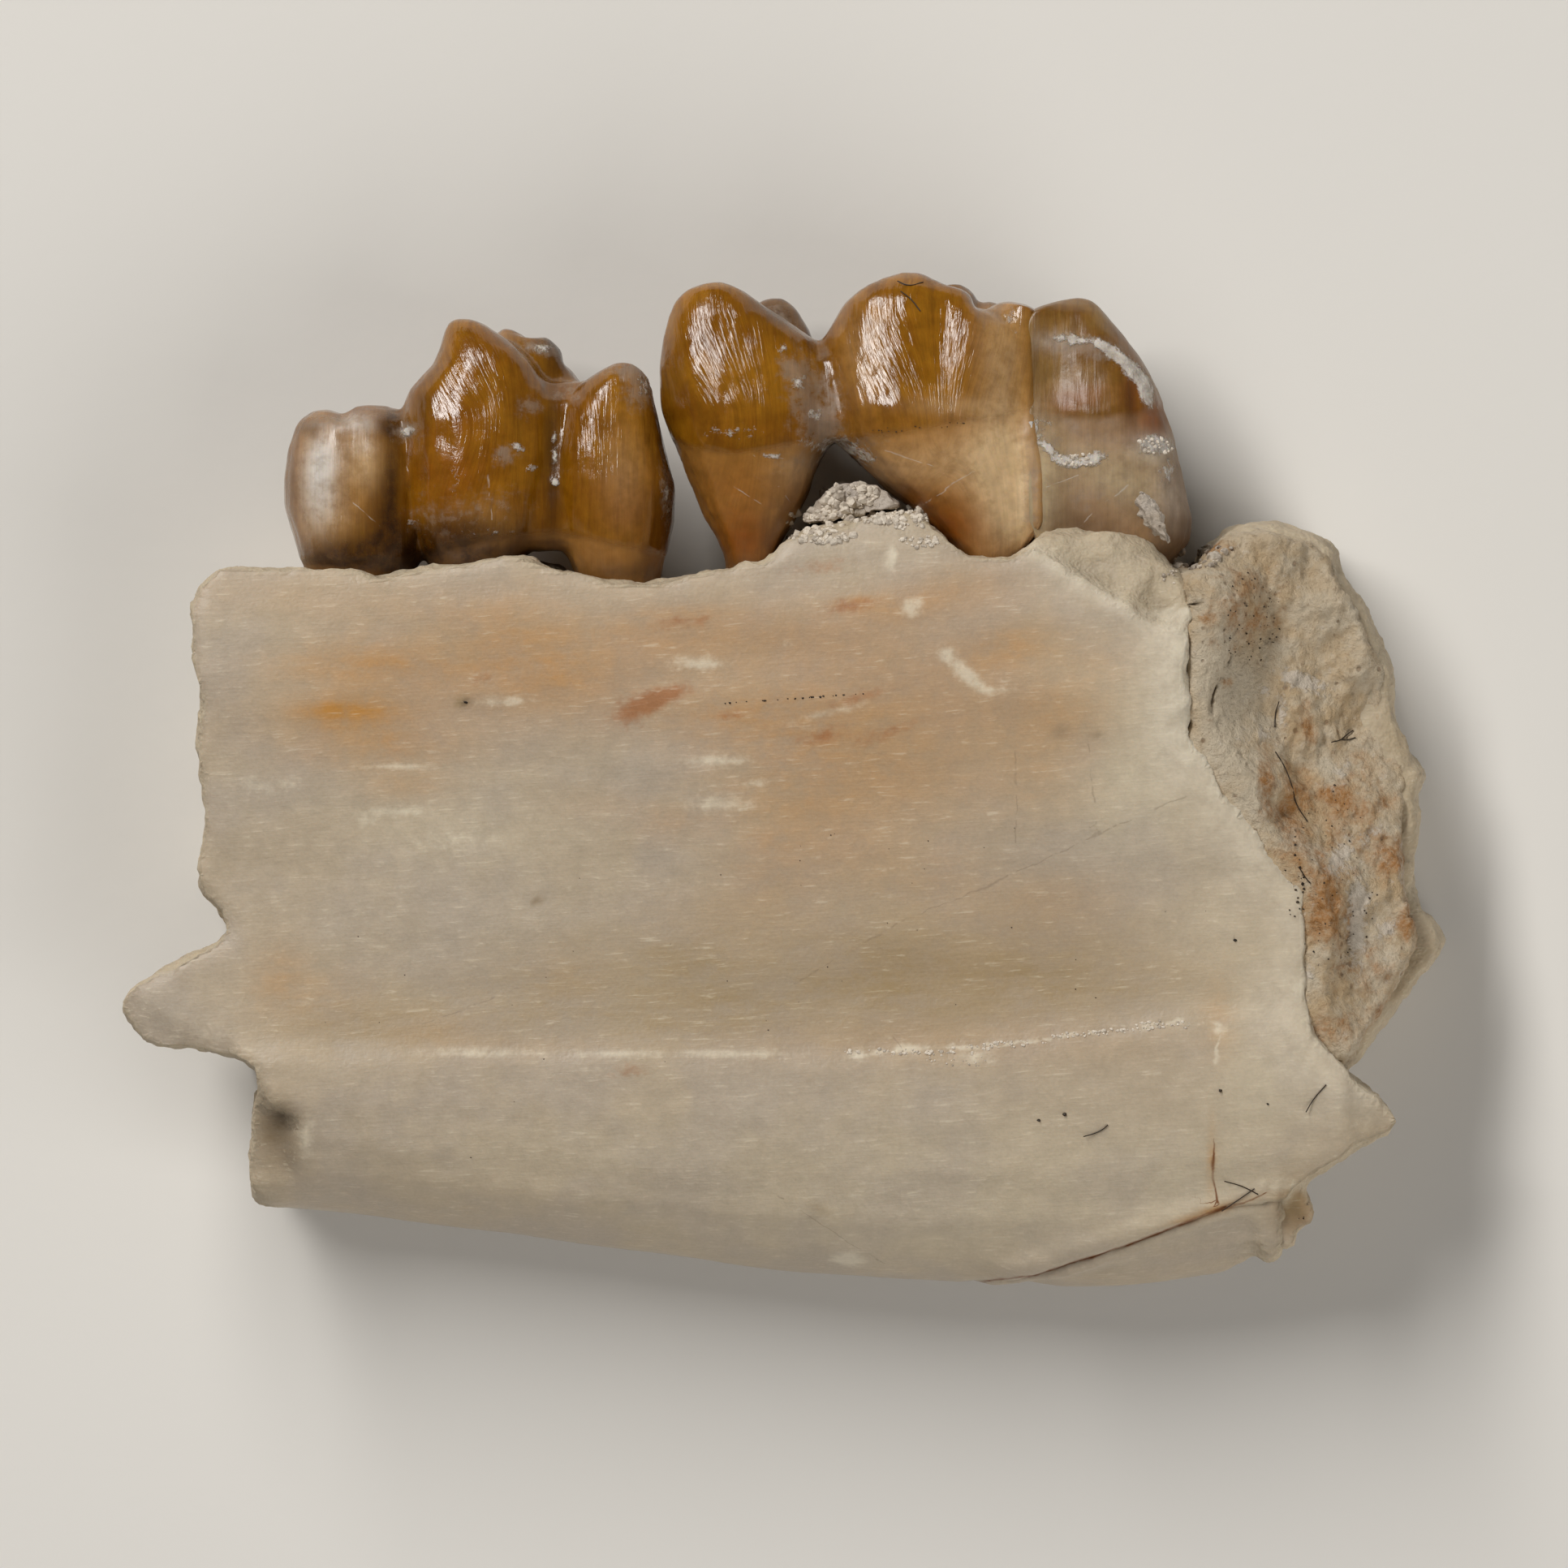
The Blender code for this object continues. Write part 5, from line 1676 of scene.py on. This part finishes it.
@dataclass
class Sediment(Piece):
    """A body of gritty sediment."""

    voxel: float = 0.1
    lumps: float = 1.0
    against: tuple[Point, ...] = ()
    rust: tuple[Patch, ...] = spots(
        (8.64, 3.28, 0.67, 0.77, 0.55), (9.82, 1.09, 0.18, 0.37, 0.8), (10.37, -0.24, 0.28, 0.21, 0.9),
        (10.17, -2.3, 0.4, 0.92, 1.0), (9.49, -0.54, 0.4, 1.07, 0.7), (11.47, -1.38, 0.52, 0.4, 0.9),
        (11.75, -2.61, 0.31, 0.37, 0.9), (11.02, -3.6, 0.61, 0.46, 0.5), (10.33, -4.67, 0.61, 0.31, 0.6),
        (11.17, -4.37, 0.24, 0.24, 0.6), (7.8, 3.05, 0.15, 0.12, 0.5), (8.26, 1.9, 0.12, 0.09, 0.7),
        (8.06, 4.44, 0.31, 0.12, 0.8), (10.86, 0.37, 0.61, 0.46, 0.3), (11.17, -0.39, 0.46, 0.24, 0.4),
        (10.56, -0.7, 0.46, 0.46, 0.5), (9.03, 0.07, 0.15, 0.61, 0.6),
    )
    white: tuple[Patch, ...] = spots(
        (9.82, 1.9, 0.37, 0.14, 1.2, -20), (9.56, 1.98, 0.18, 0.12, 0.9),
        (10.43, -1.43, 0.18, 0.34, 1.1, -30), (10.74, -2.69, 0.17, 0.77, 1.1),
        (10.86, -2.15, 0.15, 0.24, 0.8, 40), (11.81, -1.77, 0.17, 0.34, 1.1), (11.74, -1.17, 0.11, 0.11, 1.4),
        (11.35, -2.73, 0.14, 0.11, 1.3), (9.36, 1.37, 0.09, 0.4, 0.7), (11.02, -1.0, 0.31, 0.15, 0.5, 40),
        (9.03, 1.75, 0.15, 0.12, 0.5), (10.48, 0.22, 0.21, 0.21, 0.5), (8.95, 0.91, 0.15, 0.18, 0.5),
        (8.57, 0.91, 0.15, 0.15, 0.4), (9.79, -3.6, 0.12, 0.12, 0.8), (11.17, -2.91, 0.15, 0.09, 0.6),
    )
    bony: tuple[Patch, ...] = spots(
        (8.11, 1.45, 0.46, 1.84, 1.0), (8.72, 1.9, 0.46, 0.61, 0.8), (10.25, 3.43, 0.77, 1.07, 0.4, -50),
        (11.25, 1.75, 0.37, 1.22, 0.35), (9.03, 4.74, 1.07, 0.24, 0.5), (11.47, 0.53, 0.31, 0.92, 0.3),
        (12.09, -2.99, 0.4, 0.46, 0.3), (11.17, -4.98, 0.92, 0.31, 0.4, 55), (8.72, 0.07, 0.24, 0.77, 0.5),
        (10.4, -4.98, 0.31, 0.31, 0.5),
    )

    lumpy: Relief = Relief((1.3, 1.3, 1.3), 0.36, Pattern.SOFT, 2)
    gritty: Relief = Relief((0.45, 0.45, 0.45), 0.24, Pattern.GRAINY, 3)
    pitted: Relief = Relief((0.3, 0.3, 0.3), 0.16, Pattern.CHIPPED, 1)
    sandy: Relief = Relief((0.15, 0.15, 0.15), 0.13, Pattern.GRAINY, 2)
    floor: float = 1.65
    heap: float = 1.5
    closing: float = 0.5
    under_bone: float = 0.14
    level_under: float = 0.1

    def build(self) -> None:
        """Models the sediment: lumps, grit and pits over an even skin."""
        piece = self.start(rounds=2)
        if self.against:
            self.bank_up(piece)
        above = self.above_floor(piece)
        for relief in (self.lumpy, self.gritty, self.pitted):
            self.roughen(piece, relief, above)
        if self.against:
            self.meet_bone(piece)
        work(piece, "SUBSURF", levels=1, render_levels=1)
        self.roughen(piece, self.sandy, self.above_floor(piece))

    def above_floor(self, piece: Thing) -> np.ndarray:
        """Spares what rests on the inner wall: 0 at the underside, 1 above it."""
        return ramp(places_of(piece)[:, 2], self.floor, 0.3)

    def roughen(self, piece: Thing, relief: Relief, weights: np.ndarray) -> None:
        """Presses relief into the sediment, deeper where it is lumpier."""
        emboss(piece, replace(relief, depth=relief.depth * self.lumps), weights)

    def bank_up(self, piece: Thing) -> None:
        """Heaps the sediment against the broken plate and closes the gap to it.

        Args:
            piece: the sediment.
        """
        places, normals = places_of(piece), normals_of(piece)
        off = np.abs(nearest(places, self.against)[0])
        lift = 0.4 + 0.9 * np.exp(-((off / 0.7) ** 2)) + 0.14 * np.clip(off, 0, 5)
        top = np.clip(normals[:, 2] * 2, 0, 1) * (places[:, 2] > 1.8)
        swell(piece, lift * top / self.heap, self.heap, "Z")
        side = np.clip(np.hypot(normals[:, 0], normals[:, 1]) * 1.4 - 0.4, 0, 1)
        inward = np.clip(-(normals[:, 0] + 0.4 * normals[:, 1]) * 1.5, 0, 1) * (off < 0.6)
        swell(piece, side * np.maximum(inward, 0.25) * (places[:, 2] > 1.7), self.closing)

    def meet_bone(self, piece: Thing) -> None:
        """Keeps the sediment under the plate's break, and level with it towards the teeth.

        Args:
            piece: the sediment.
        """
        places = places_of(piece)
        off = nearest(places, self.against)[0]
        rows = (-5.4, -4.3, -2.8, 0.0, 1.0, 2.8)
        bone_top = np.interp(places[:, 1], rows, (4.9, 5.12, 5.05, 5.28, 5.35, 5.5))
        close = ramp(off, 0.5, -0.3) * (places[:, 2] > bone_top - self.under_bone)
        settle(piece, bone_top - self.under_bone, close)
        _, y, z = places_of(piece).T
        level = ramp(np.abs(off), 1.4, -1.2) * ramp(y, -0.6, 0.5)
        level *= facing(piece, 3.0) * (z > 3.8)
        settle(piece, bone_top - self.level_under, level * ramp(y, 4.2, -0.3))

    def dress(self, material: bpy.types.Material) -> None:
        """Paints rust, crystals and smooth rims, and dresses the piece.

        Args:
            material: the sediment's finish.
        """
        places = places_of(self.thing)
        for name in ("rust", "white", "bony"):
            paint(self.thing, name, patches(places, getattr(self, name)))
        self.close(material)


@dataclass
class Scatter:
    """Small grains strewn over what lies below them. Each region has its patch, count and grain sizes."""

    name: str
    slot: Slot
    regions: tuple[tuple[Patch, int, float, float], ...]
    seed: int = 5
    kinds: int = 4
    uneven: float = 0.28
    flat: tuple[float, float, float] = (1.0, 0.8, 0.7)
    tone_spread: float = 0.7

    def models(self) -> list[tuple[np.ndarray, list[tuple[int, ...]]]]:
        """Models the grains that the others are copied from.

        Returns:
            Each grain's points, about one unit wide, and its faces.
        """
        made = []
        for kind in range(self.kinds):
            bpy.ops.object.select_all(action="DESELECT")
            bpy.ops.mesh.primitive_ico_sphere_add(subdivisions=2, radius=0.5)
            grain = bpy.context.object
            bpy.ops.object.mode_set(mode="EDIT")
            bpy.ops.mesh.select_all(action="SELECT")
            bpy.ops.transform.vertex_random(offset=self.uneven, seed=self.seed + kind)
            bpy.ops.mesh.convex_hull()
            bpy.ops.transform.resize(value=self.flat)
            bpy.ops.object.mode_set(mode="OBJECT")
            points = np.array([tuple(v.co) for v in grain.data.vertices])
            made.append((points, [tuple(p.vertices) for p in grain.data.polygons]))
            bpy.data.objects.remove(grain)
        return made

    def build(self, beds: Sequence[Thing]) -> Thing:
        """Strews the grains and makes them one piece.

        Args:
            beds: the pieces they may lie on.

        Returns:
            The grains.
        """
        chance = random.Random(self.seed)
        models = self.models()
        points, faces, tones = [], [], []
        start = 0
        for spot, count, smallest, largest in self.regions:
            for _ in range(count):
                angle, reach = chance.uniform(0, math.tau), math.sqrt(chance.random())
                turn = math.radians(spot.turn)
                u, v = spot.long * reach * math.cos(angle), spot.high * reach * math.sin(angle)
                x = spot.x + u * math.cos(turn) - v * math.sin(turn)
                y = spot.y + u * math.sin(turn) + v * math.cos(turn)
                size = smallest + (largest - smallest) * chance.random() ** 2
                tone = spot.strength + (chance.random() - 0.5) * self.tone_spread
                spin = Vector((chance.uniform(-1, 1), chance.uniform(-1, 1), chance.uniform(-1, 1)))
                shape, skin = models[chance.randrange(self.kinds)]
                z = height_at(beds, x, y)
                if z is None:
                    continue
                turned = shape @ np.array(spin.to_track_quat("Z", "Y").to_matrix())
                points.append(turned * size + np.array((x, y, z)))
                faces.extend(tuple(i + start for i in face) for face in skin)
                tones.append(np.full(len(shape), min(1.0, max(0.0, tone))))
                start += len(shape)
        mesh = bpy.data.meshes.new(self.name)
        mesh.from_pydata((np.concatenate(points) * MM).tolist(), [], faces)
        grains = bpy.data.objects.new(self.name, mesh)
        bpy.context.scene.collection.objects.link(grains)
        paint(grains, "tone", np.concatenate(tones))
        return grains

    def dress(self, grains: Thing, material: bpy.types.Material) -> None:
        """Dresses the grains and hands them to the frame.

        Args:
            grains: the piece.
            material: its finish.
        """
        grains.data.materials.append(material)
        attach(grains, "root")
        report(grains)


def height_at(beds: Sequence[Thing], x: float, y: float) -> Optional[float]:
    """Finds the highest surface at a place.

    Args:
        beds: the pieces that may be there.
        x: millimetres.
        y: millimetres.

    Returns:
        The height in millimetres, or None where there is nothing.
    """
    best = None
    for bed in beds:
        hit, spot, _, _ = bed.ray_cast(Vector((x, y, SKY)) * MM, Vector((0, 0, -1)))
        if hit and (best is None or spot.z / MM > best):
            best = spot.z / MM
    return best


def sand() -> Scatter:
    """The crumbs between the roots, along the ledge and in the crusts.

    Returns:
        The grains, not yet strewn.
    """
    return Scatter(
        "sand_grains", Slot.SEDIMENT,
        regions=(
            (Patch(1.22, 5.49, 0.52, 0.4, 0.75), 110, 0.07, 0.24),
            (Patch(0.54, 4.96, 0.58, 0.28, 0.95), 130, 0.05, 0.18),
            (Patch(2.26, 5.0, 0.43, 0.24, 0.9), 100, 0.05, 0.17),
            (Patch(1.15, 6.01, 0.21, 0.21, 0.6), 26, 0.07, 0.15),
            (Patch(2.48, 4.54, 0.37, 0.12, 0.9), 40, 0.05, 0.12),
            (Patch(2.14, -5.06, 1.07, 0.06, 1.0), 46, 0.03, 0.09),
            (Patch(3.98, -4.93, 0.92, 0.06, 1.0, 4), 46, 0.03, 0.09),
            (Patch(5.89, -4.69, 1.07, 0.05, 1.0, 5), 60, 0.03, 0.09),
            (Patch(7.11, -4.55, 0.55, 0.09, 0.95), 40, 0.03, 0.08),
            (Patch(3.37, -5.18, 0.77, 0.14, 0.8), 26, 0.025, 0.06),
            (Patch(6.96, 6.37, 0.37, 0.15, 0.9), 24, 0.05, 0.12),
            (Patch(5.51, 6.1, 0.46, 0.12, 0.9), 24, 0.04, 0.1),
            (Patch(1.56, 5.01, 0.52, 0.12, 0.9), 60, 0.06, 0.2),
            (Patch(0.64, 4.63, 0.64, 0.12, 0.85), 70, 0.06, 0.18),
            (Patch(-1.87, 4.6, 0.21, 0.21, 0.6), 16, 0.08, 0.2),
            (Patch(7.71, 4.23, 0.46, 0.21, 0.5), 50, 0.07, 0.22),
            (Patch(8.09, 4.41, 0.4, 0.11, 0.4), 20, 0.06, 0.16),
            (Patch(7.19, 3.92, 0.15, 0.21, 0.6), 10, 0.05, 0.12),
        ),
    )


def dirt_specks() -> Scatter:
    """The dark specks on the bone and in the sediment.

    Returns:
        The specks, not yet strewn.
    """
    return Scatter(
        "dirt_specks", Slot.SEDIMENT,
        regions=(
            (Patch(5.23, -6.23, 0.02, 0.02, 0.0), 1, 0.09, 0.09),
            (Patch(4.74, -6.36, 0.02, 0.02, 0.0), 1, 0.07, 0.07),
            (Patch(8.14, -5.79, 0.02, 0.02, 0.3), 1, 0.08, 0.08),
            (Patch(9.03, -6.02, 0.02, 0.02, 0.3), 1, 0.05, 0.05),
            (Patch(8.41, -2.95, 0.02, 0.02, 0.0), 1, 0.07, 0.07),
            (Patch(-6.04, 1.52, 0.03, 0.03, 0.0), 3, 0.05, 0.07),
            (Patch(-0.06, 1.57, 1.59, 0.01, 0.0, 4), 26, 0.025, 0.05),
            (Patch(2.75, -2.53, 5.35, 1.84, 0.2), 24, 0.015, 0.03),
            (Patch(-4.13, -4.37, 5.35, 3.06, 0.2), 16, 0.015, 0.03),
            (Patch(2.45, 6.69, 0.92, 0.06, 0.0, 5), 16, 0.02, 0.04),
            (Patch(8.72, 3.13, 0.61, 0.92, 0.4), 70, 0.02, 0.055),
            (Patch(10.25, -1.77, 0.92, 1.84, 0.4), 70, 0.02, 0.05),
            (Patch(9.64, -1.61, 0.12, 0.92, 0.3), 14, 0.03, 0.07),
            (Patch(9.79, -8.19, 0.15, 0.31, 0.3), 6, 0.02, 0.05),
        ),
        seed=9,
    )


@dataclass
class Lint:
    """A few short dark fibres that lie on the fragment, each with its first end lifted a little."""

    name: str = "lint_fibres"
    radius: float = 0.011
    lift: float = 0.02
    loose_end: float = 0.06
    level: float = 4.0
    fibres: tuple[tuple[Point, ...], ...] = (
        ((10.3, 0.77), (10.48, 0.82), (10.6, 0.91), (10.73, 1.0)),
        ((10.48, 0.82), (10.63, 0.82), (10.77, 0.86)),
        ((9.29, 1.54), (9.23, 1.32), (9.21, 1.05)),
        ((9.21, 0.59), (9.38, 0.31), (9.52, -0.05), (9.61, -0.39), (9.82, -0.73)),
        ((9.64, -1.61), (9.75, -1.78), (9.84, -1.89)),
        ((5.57, -6.65), (5.78, -6.59), (5.94, -6.51), (6.03, -6.43)),
        ((9.75, -6.19), (9.88, -5.97), (10.13, -5.67)),
        ((8.23, -7.5), (8.57, -7.6), (8.87, -7.75)),
        ((8.19, -8.07), (8.49, -7.86), (8.8, -7.64)),
        ((2.08, 9.48), (2.29, 9.4), (2.57, 9.46)),
        ((2.14, 9.28), (2.33, 9.13), (2.51, 8.9)),
    )

    def build(self, beds: Sequence[Thing]) -> Thing:
        """Lays each fibre on what is below it.

        Args:
            beds: the pieces they may lie on.

        Returns:
            The fibres, as one piece.
        """
        curve = bpy.data.curves.new(self.name, "CURVE")
        curve.dimensions = "3D"
        curve.bevel_depth = self.radius * MM
        curve.bevel_resolution = 1
        curve.use_fill_caps = True
        curve.resolution_u = 6
        for fibre in self.fibres:
            spline = curve.splines.new("BEZIER")
            spline.bezier_points.add(len(fibre) - 1)
            for i, (point, (x, y)) in enumerate(zip(spline.bezier_points, fibre)):
                lift = self.lift + (self.loose_end if i == 0 else 0.0)
                point.co = Vector((x, y, (height_at(beds, x, y) or self.level) + lift)) * MM
                point.handle_left_type = point.handle_right_type = "AUTO"
        fibres = bpy.data.objects.new(self.name, curve)
        bpy.context.scene.collection.objects.link(fibres)
        pick(fibres)
        bpy.ops.object.convert(target="MESH")
        return bpy.context.object

    def dress(self, fibres: Thing) -> None:
        """Gives the fibres a dark matt finish and hands them to the frame.

        Args:
            fibres: the piece.
        """
        dark = PlainFinish(
            "dark_lint", colour("1A1510"), colour("3A2C1E"), cloud=0.2, rough=0.6, tooth=0.02, depth=0.002,
        )
        fibres.data.materials.append(dark.make())
        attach(fibres, "root")
        report(fibres)


@dataclass(frozen=True)
class Softbox:
    """A soft lamp that looks at the fragment from one direction. Its long side runs along Y."""

    name: str
    power: float
    wide: float
    tall: float
    way: tuple[float, float, float]
    mirrored: bool = True
    reach: float = 300.0
    tint: tuple[float, float, float] = (1.0, 0.98, 0.95)

    def hang(self) -> None:
        """Hangs the lamp."""
        lamp = bpy.data.lights.new(self.name, "AREA")
        lamp.shape = "RECTANGLE"
        lamp.size, lamp.size_y = self.wide * MM, self.tall * MM
        lamp.energy = self.power
        lamp.color = self.tint
        holder = bpy.data.objects.new(self.name, lamp)
        away = Vector(self.way).normalized()
        holder.location = away * self.reach * MM
        holder.visible_glossy = self.mirrored
        up = (Vector((0, 1, 0)) - away * away.y).normalized()
        holder.rotation_euler = Matrix((up.cross(away), up, away)).transposed().to_euler()
        bpy.context.scene.collection.objects.link(holder)


@dataclass(frozen=True)
class Studio:
    """The pale floor, the soft lights and the camera that looks straight down."""

    floor_side: float = 600.0
    boxes: tuple[Softbox, ...] = (
        Softbox("key_softbox", 0.93, 64.0, 270.0, (-0.41, 0.60, 0.69)),
        Softbox("low_fill", 0.52, 260.0, 260.0, (0.62, -0.56, 0.55), mirrored=False),
    )
    ambient: float = 0.06
    ambient_tint: Colour = (1.0, 0.99, 0.97, 1.0)
    camera_place: tuple[float, float, float] = (-0.06, -0.02, 250.8)
    lens: float = 300.0
    sensor: float = 36.0
    clip: tuple[float, float] = (0.001, 10.0)

    def floor(self) -> None:
        """Lays the floor under the fragment."""
        bpy.ops.mesh.primitive_plane_add(size=self.floor_side * MM)
        ground = bpy.context.object
        ground.name = "floor"
        pale = PlainFinish(
            "pale_floor", colour("D9D6D0"), colour("DFDCD7"), cloud=30.0, rough=0.7, tooth=0.4, depth=0.004,
        )
        ground.data.materials.append(pale.make())

    def lights(self) -> None:
        """Hangs the softboxes and fills the rest softly."""
        for box in self.boxes:
            box.hang()
        world = bpy.data.worlds.new("soft_fill")
        world.use_nodes = True
        backdrop = world.node_tree.nodes["Background"]
        backdrop.inputs["Color"].default_value = self.ambient_tint
        backdrop.inputs["Strength"].default_value = self.ambient
        bpy.context.scene.world = world

    def camera(self) -> None:
        """Sets up the camera."""
        eye = bpy.data.cameras.new("camera")
        eye.lens, eye.sensor_width = self.lens, self.sensor
        eye.clip_start, eye.clip_end = self.clip
        holder = bpy.data.objects.new("camera", eye)
        holder.location = Vector(self.camera_place) * MM
        bpy.context.scene.collection.objects.link(holder)
        bpy.context.scene.camera = holder
        bpy.context.scene.view_settings.view_transform = "Standard"


def main() -> None:
    logging.basicConfig(level=logging.INFO, format="%(message)s")
    effects = Effects()
    bone = BoneFinish().make(effects)
    enamel = EnamelFinish().make(effects)
    worn = EnamelFinish(
        name="worn_molar", enamel=colour("70490F"), gold=colour("82602A"), deep=colour("4E2D0A"),
        root=colour("866746"), cream=colour("A69170"), gloss=0.34, wrinkle=0.012, strand=0.004,
    ).make(effects)
    grit = SedimentFinish().make(effects)
    chalk = SedimentFinish(
        name="chalky_crust", grit=colour("B0A291"), grey=colour("BDB2A6"), rust=colour("9C7F60"),
        dark=colour("8A7662"), white=colour("CDC5BB"),
    ).make(effects)

    studio = Studio()
    studio.floor()
    studio.lights()
    studio.camera()

    jaw = Bone("jaw_bone", "weathered_jaw", Slot.BONE)
    flake = Bone("ventral_flake", "border_splinter", Slot.BONE, voxel=0.08)
    teeth = [(premolar(), enamel), (front_molar(), enamel), (rear_molar(), worn)]
    filling = Sediment("rear_matrix", "rear_sediment", Slot.SEDIMENT, against=jaw.plate_break[2:])
    crumbs = Sediment("root_matrix", "root_sediment", Slot.SEDIMENT, voxel=0.06, lumps=0.6)
    peg = Sediment("sediment_peg", "white_peg", Slot.CRUST, voxel=0.05, lumps=1.2)
    for piece, finish in [(jaw, bone), (flake, bone), *teeth, (filling, grit), (crumbs, chalk), (peg, chalk)]:
        piece.build()
        piece.dress(finish)

    beds = [piece.thing for piece in (jaw, flake, filling, crumbs, peg)] + [tooth.thing for tooth, _ in teeth]
    grains = sand()
    grains.dress(grains.build(beds), GrainFinish().make())
    specks = dirt_specks()
    dark = GrainFinish(name="dirt_specks", dark=colour("1C140C"), pale=colour("4A3A28"))
    specks.dress(specks.build(beds), dark.make())
    lint = Lint()
    lint.dress(lint.build(beds))


if __name__ == "__main__":
    main()
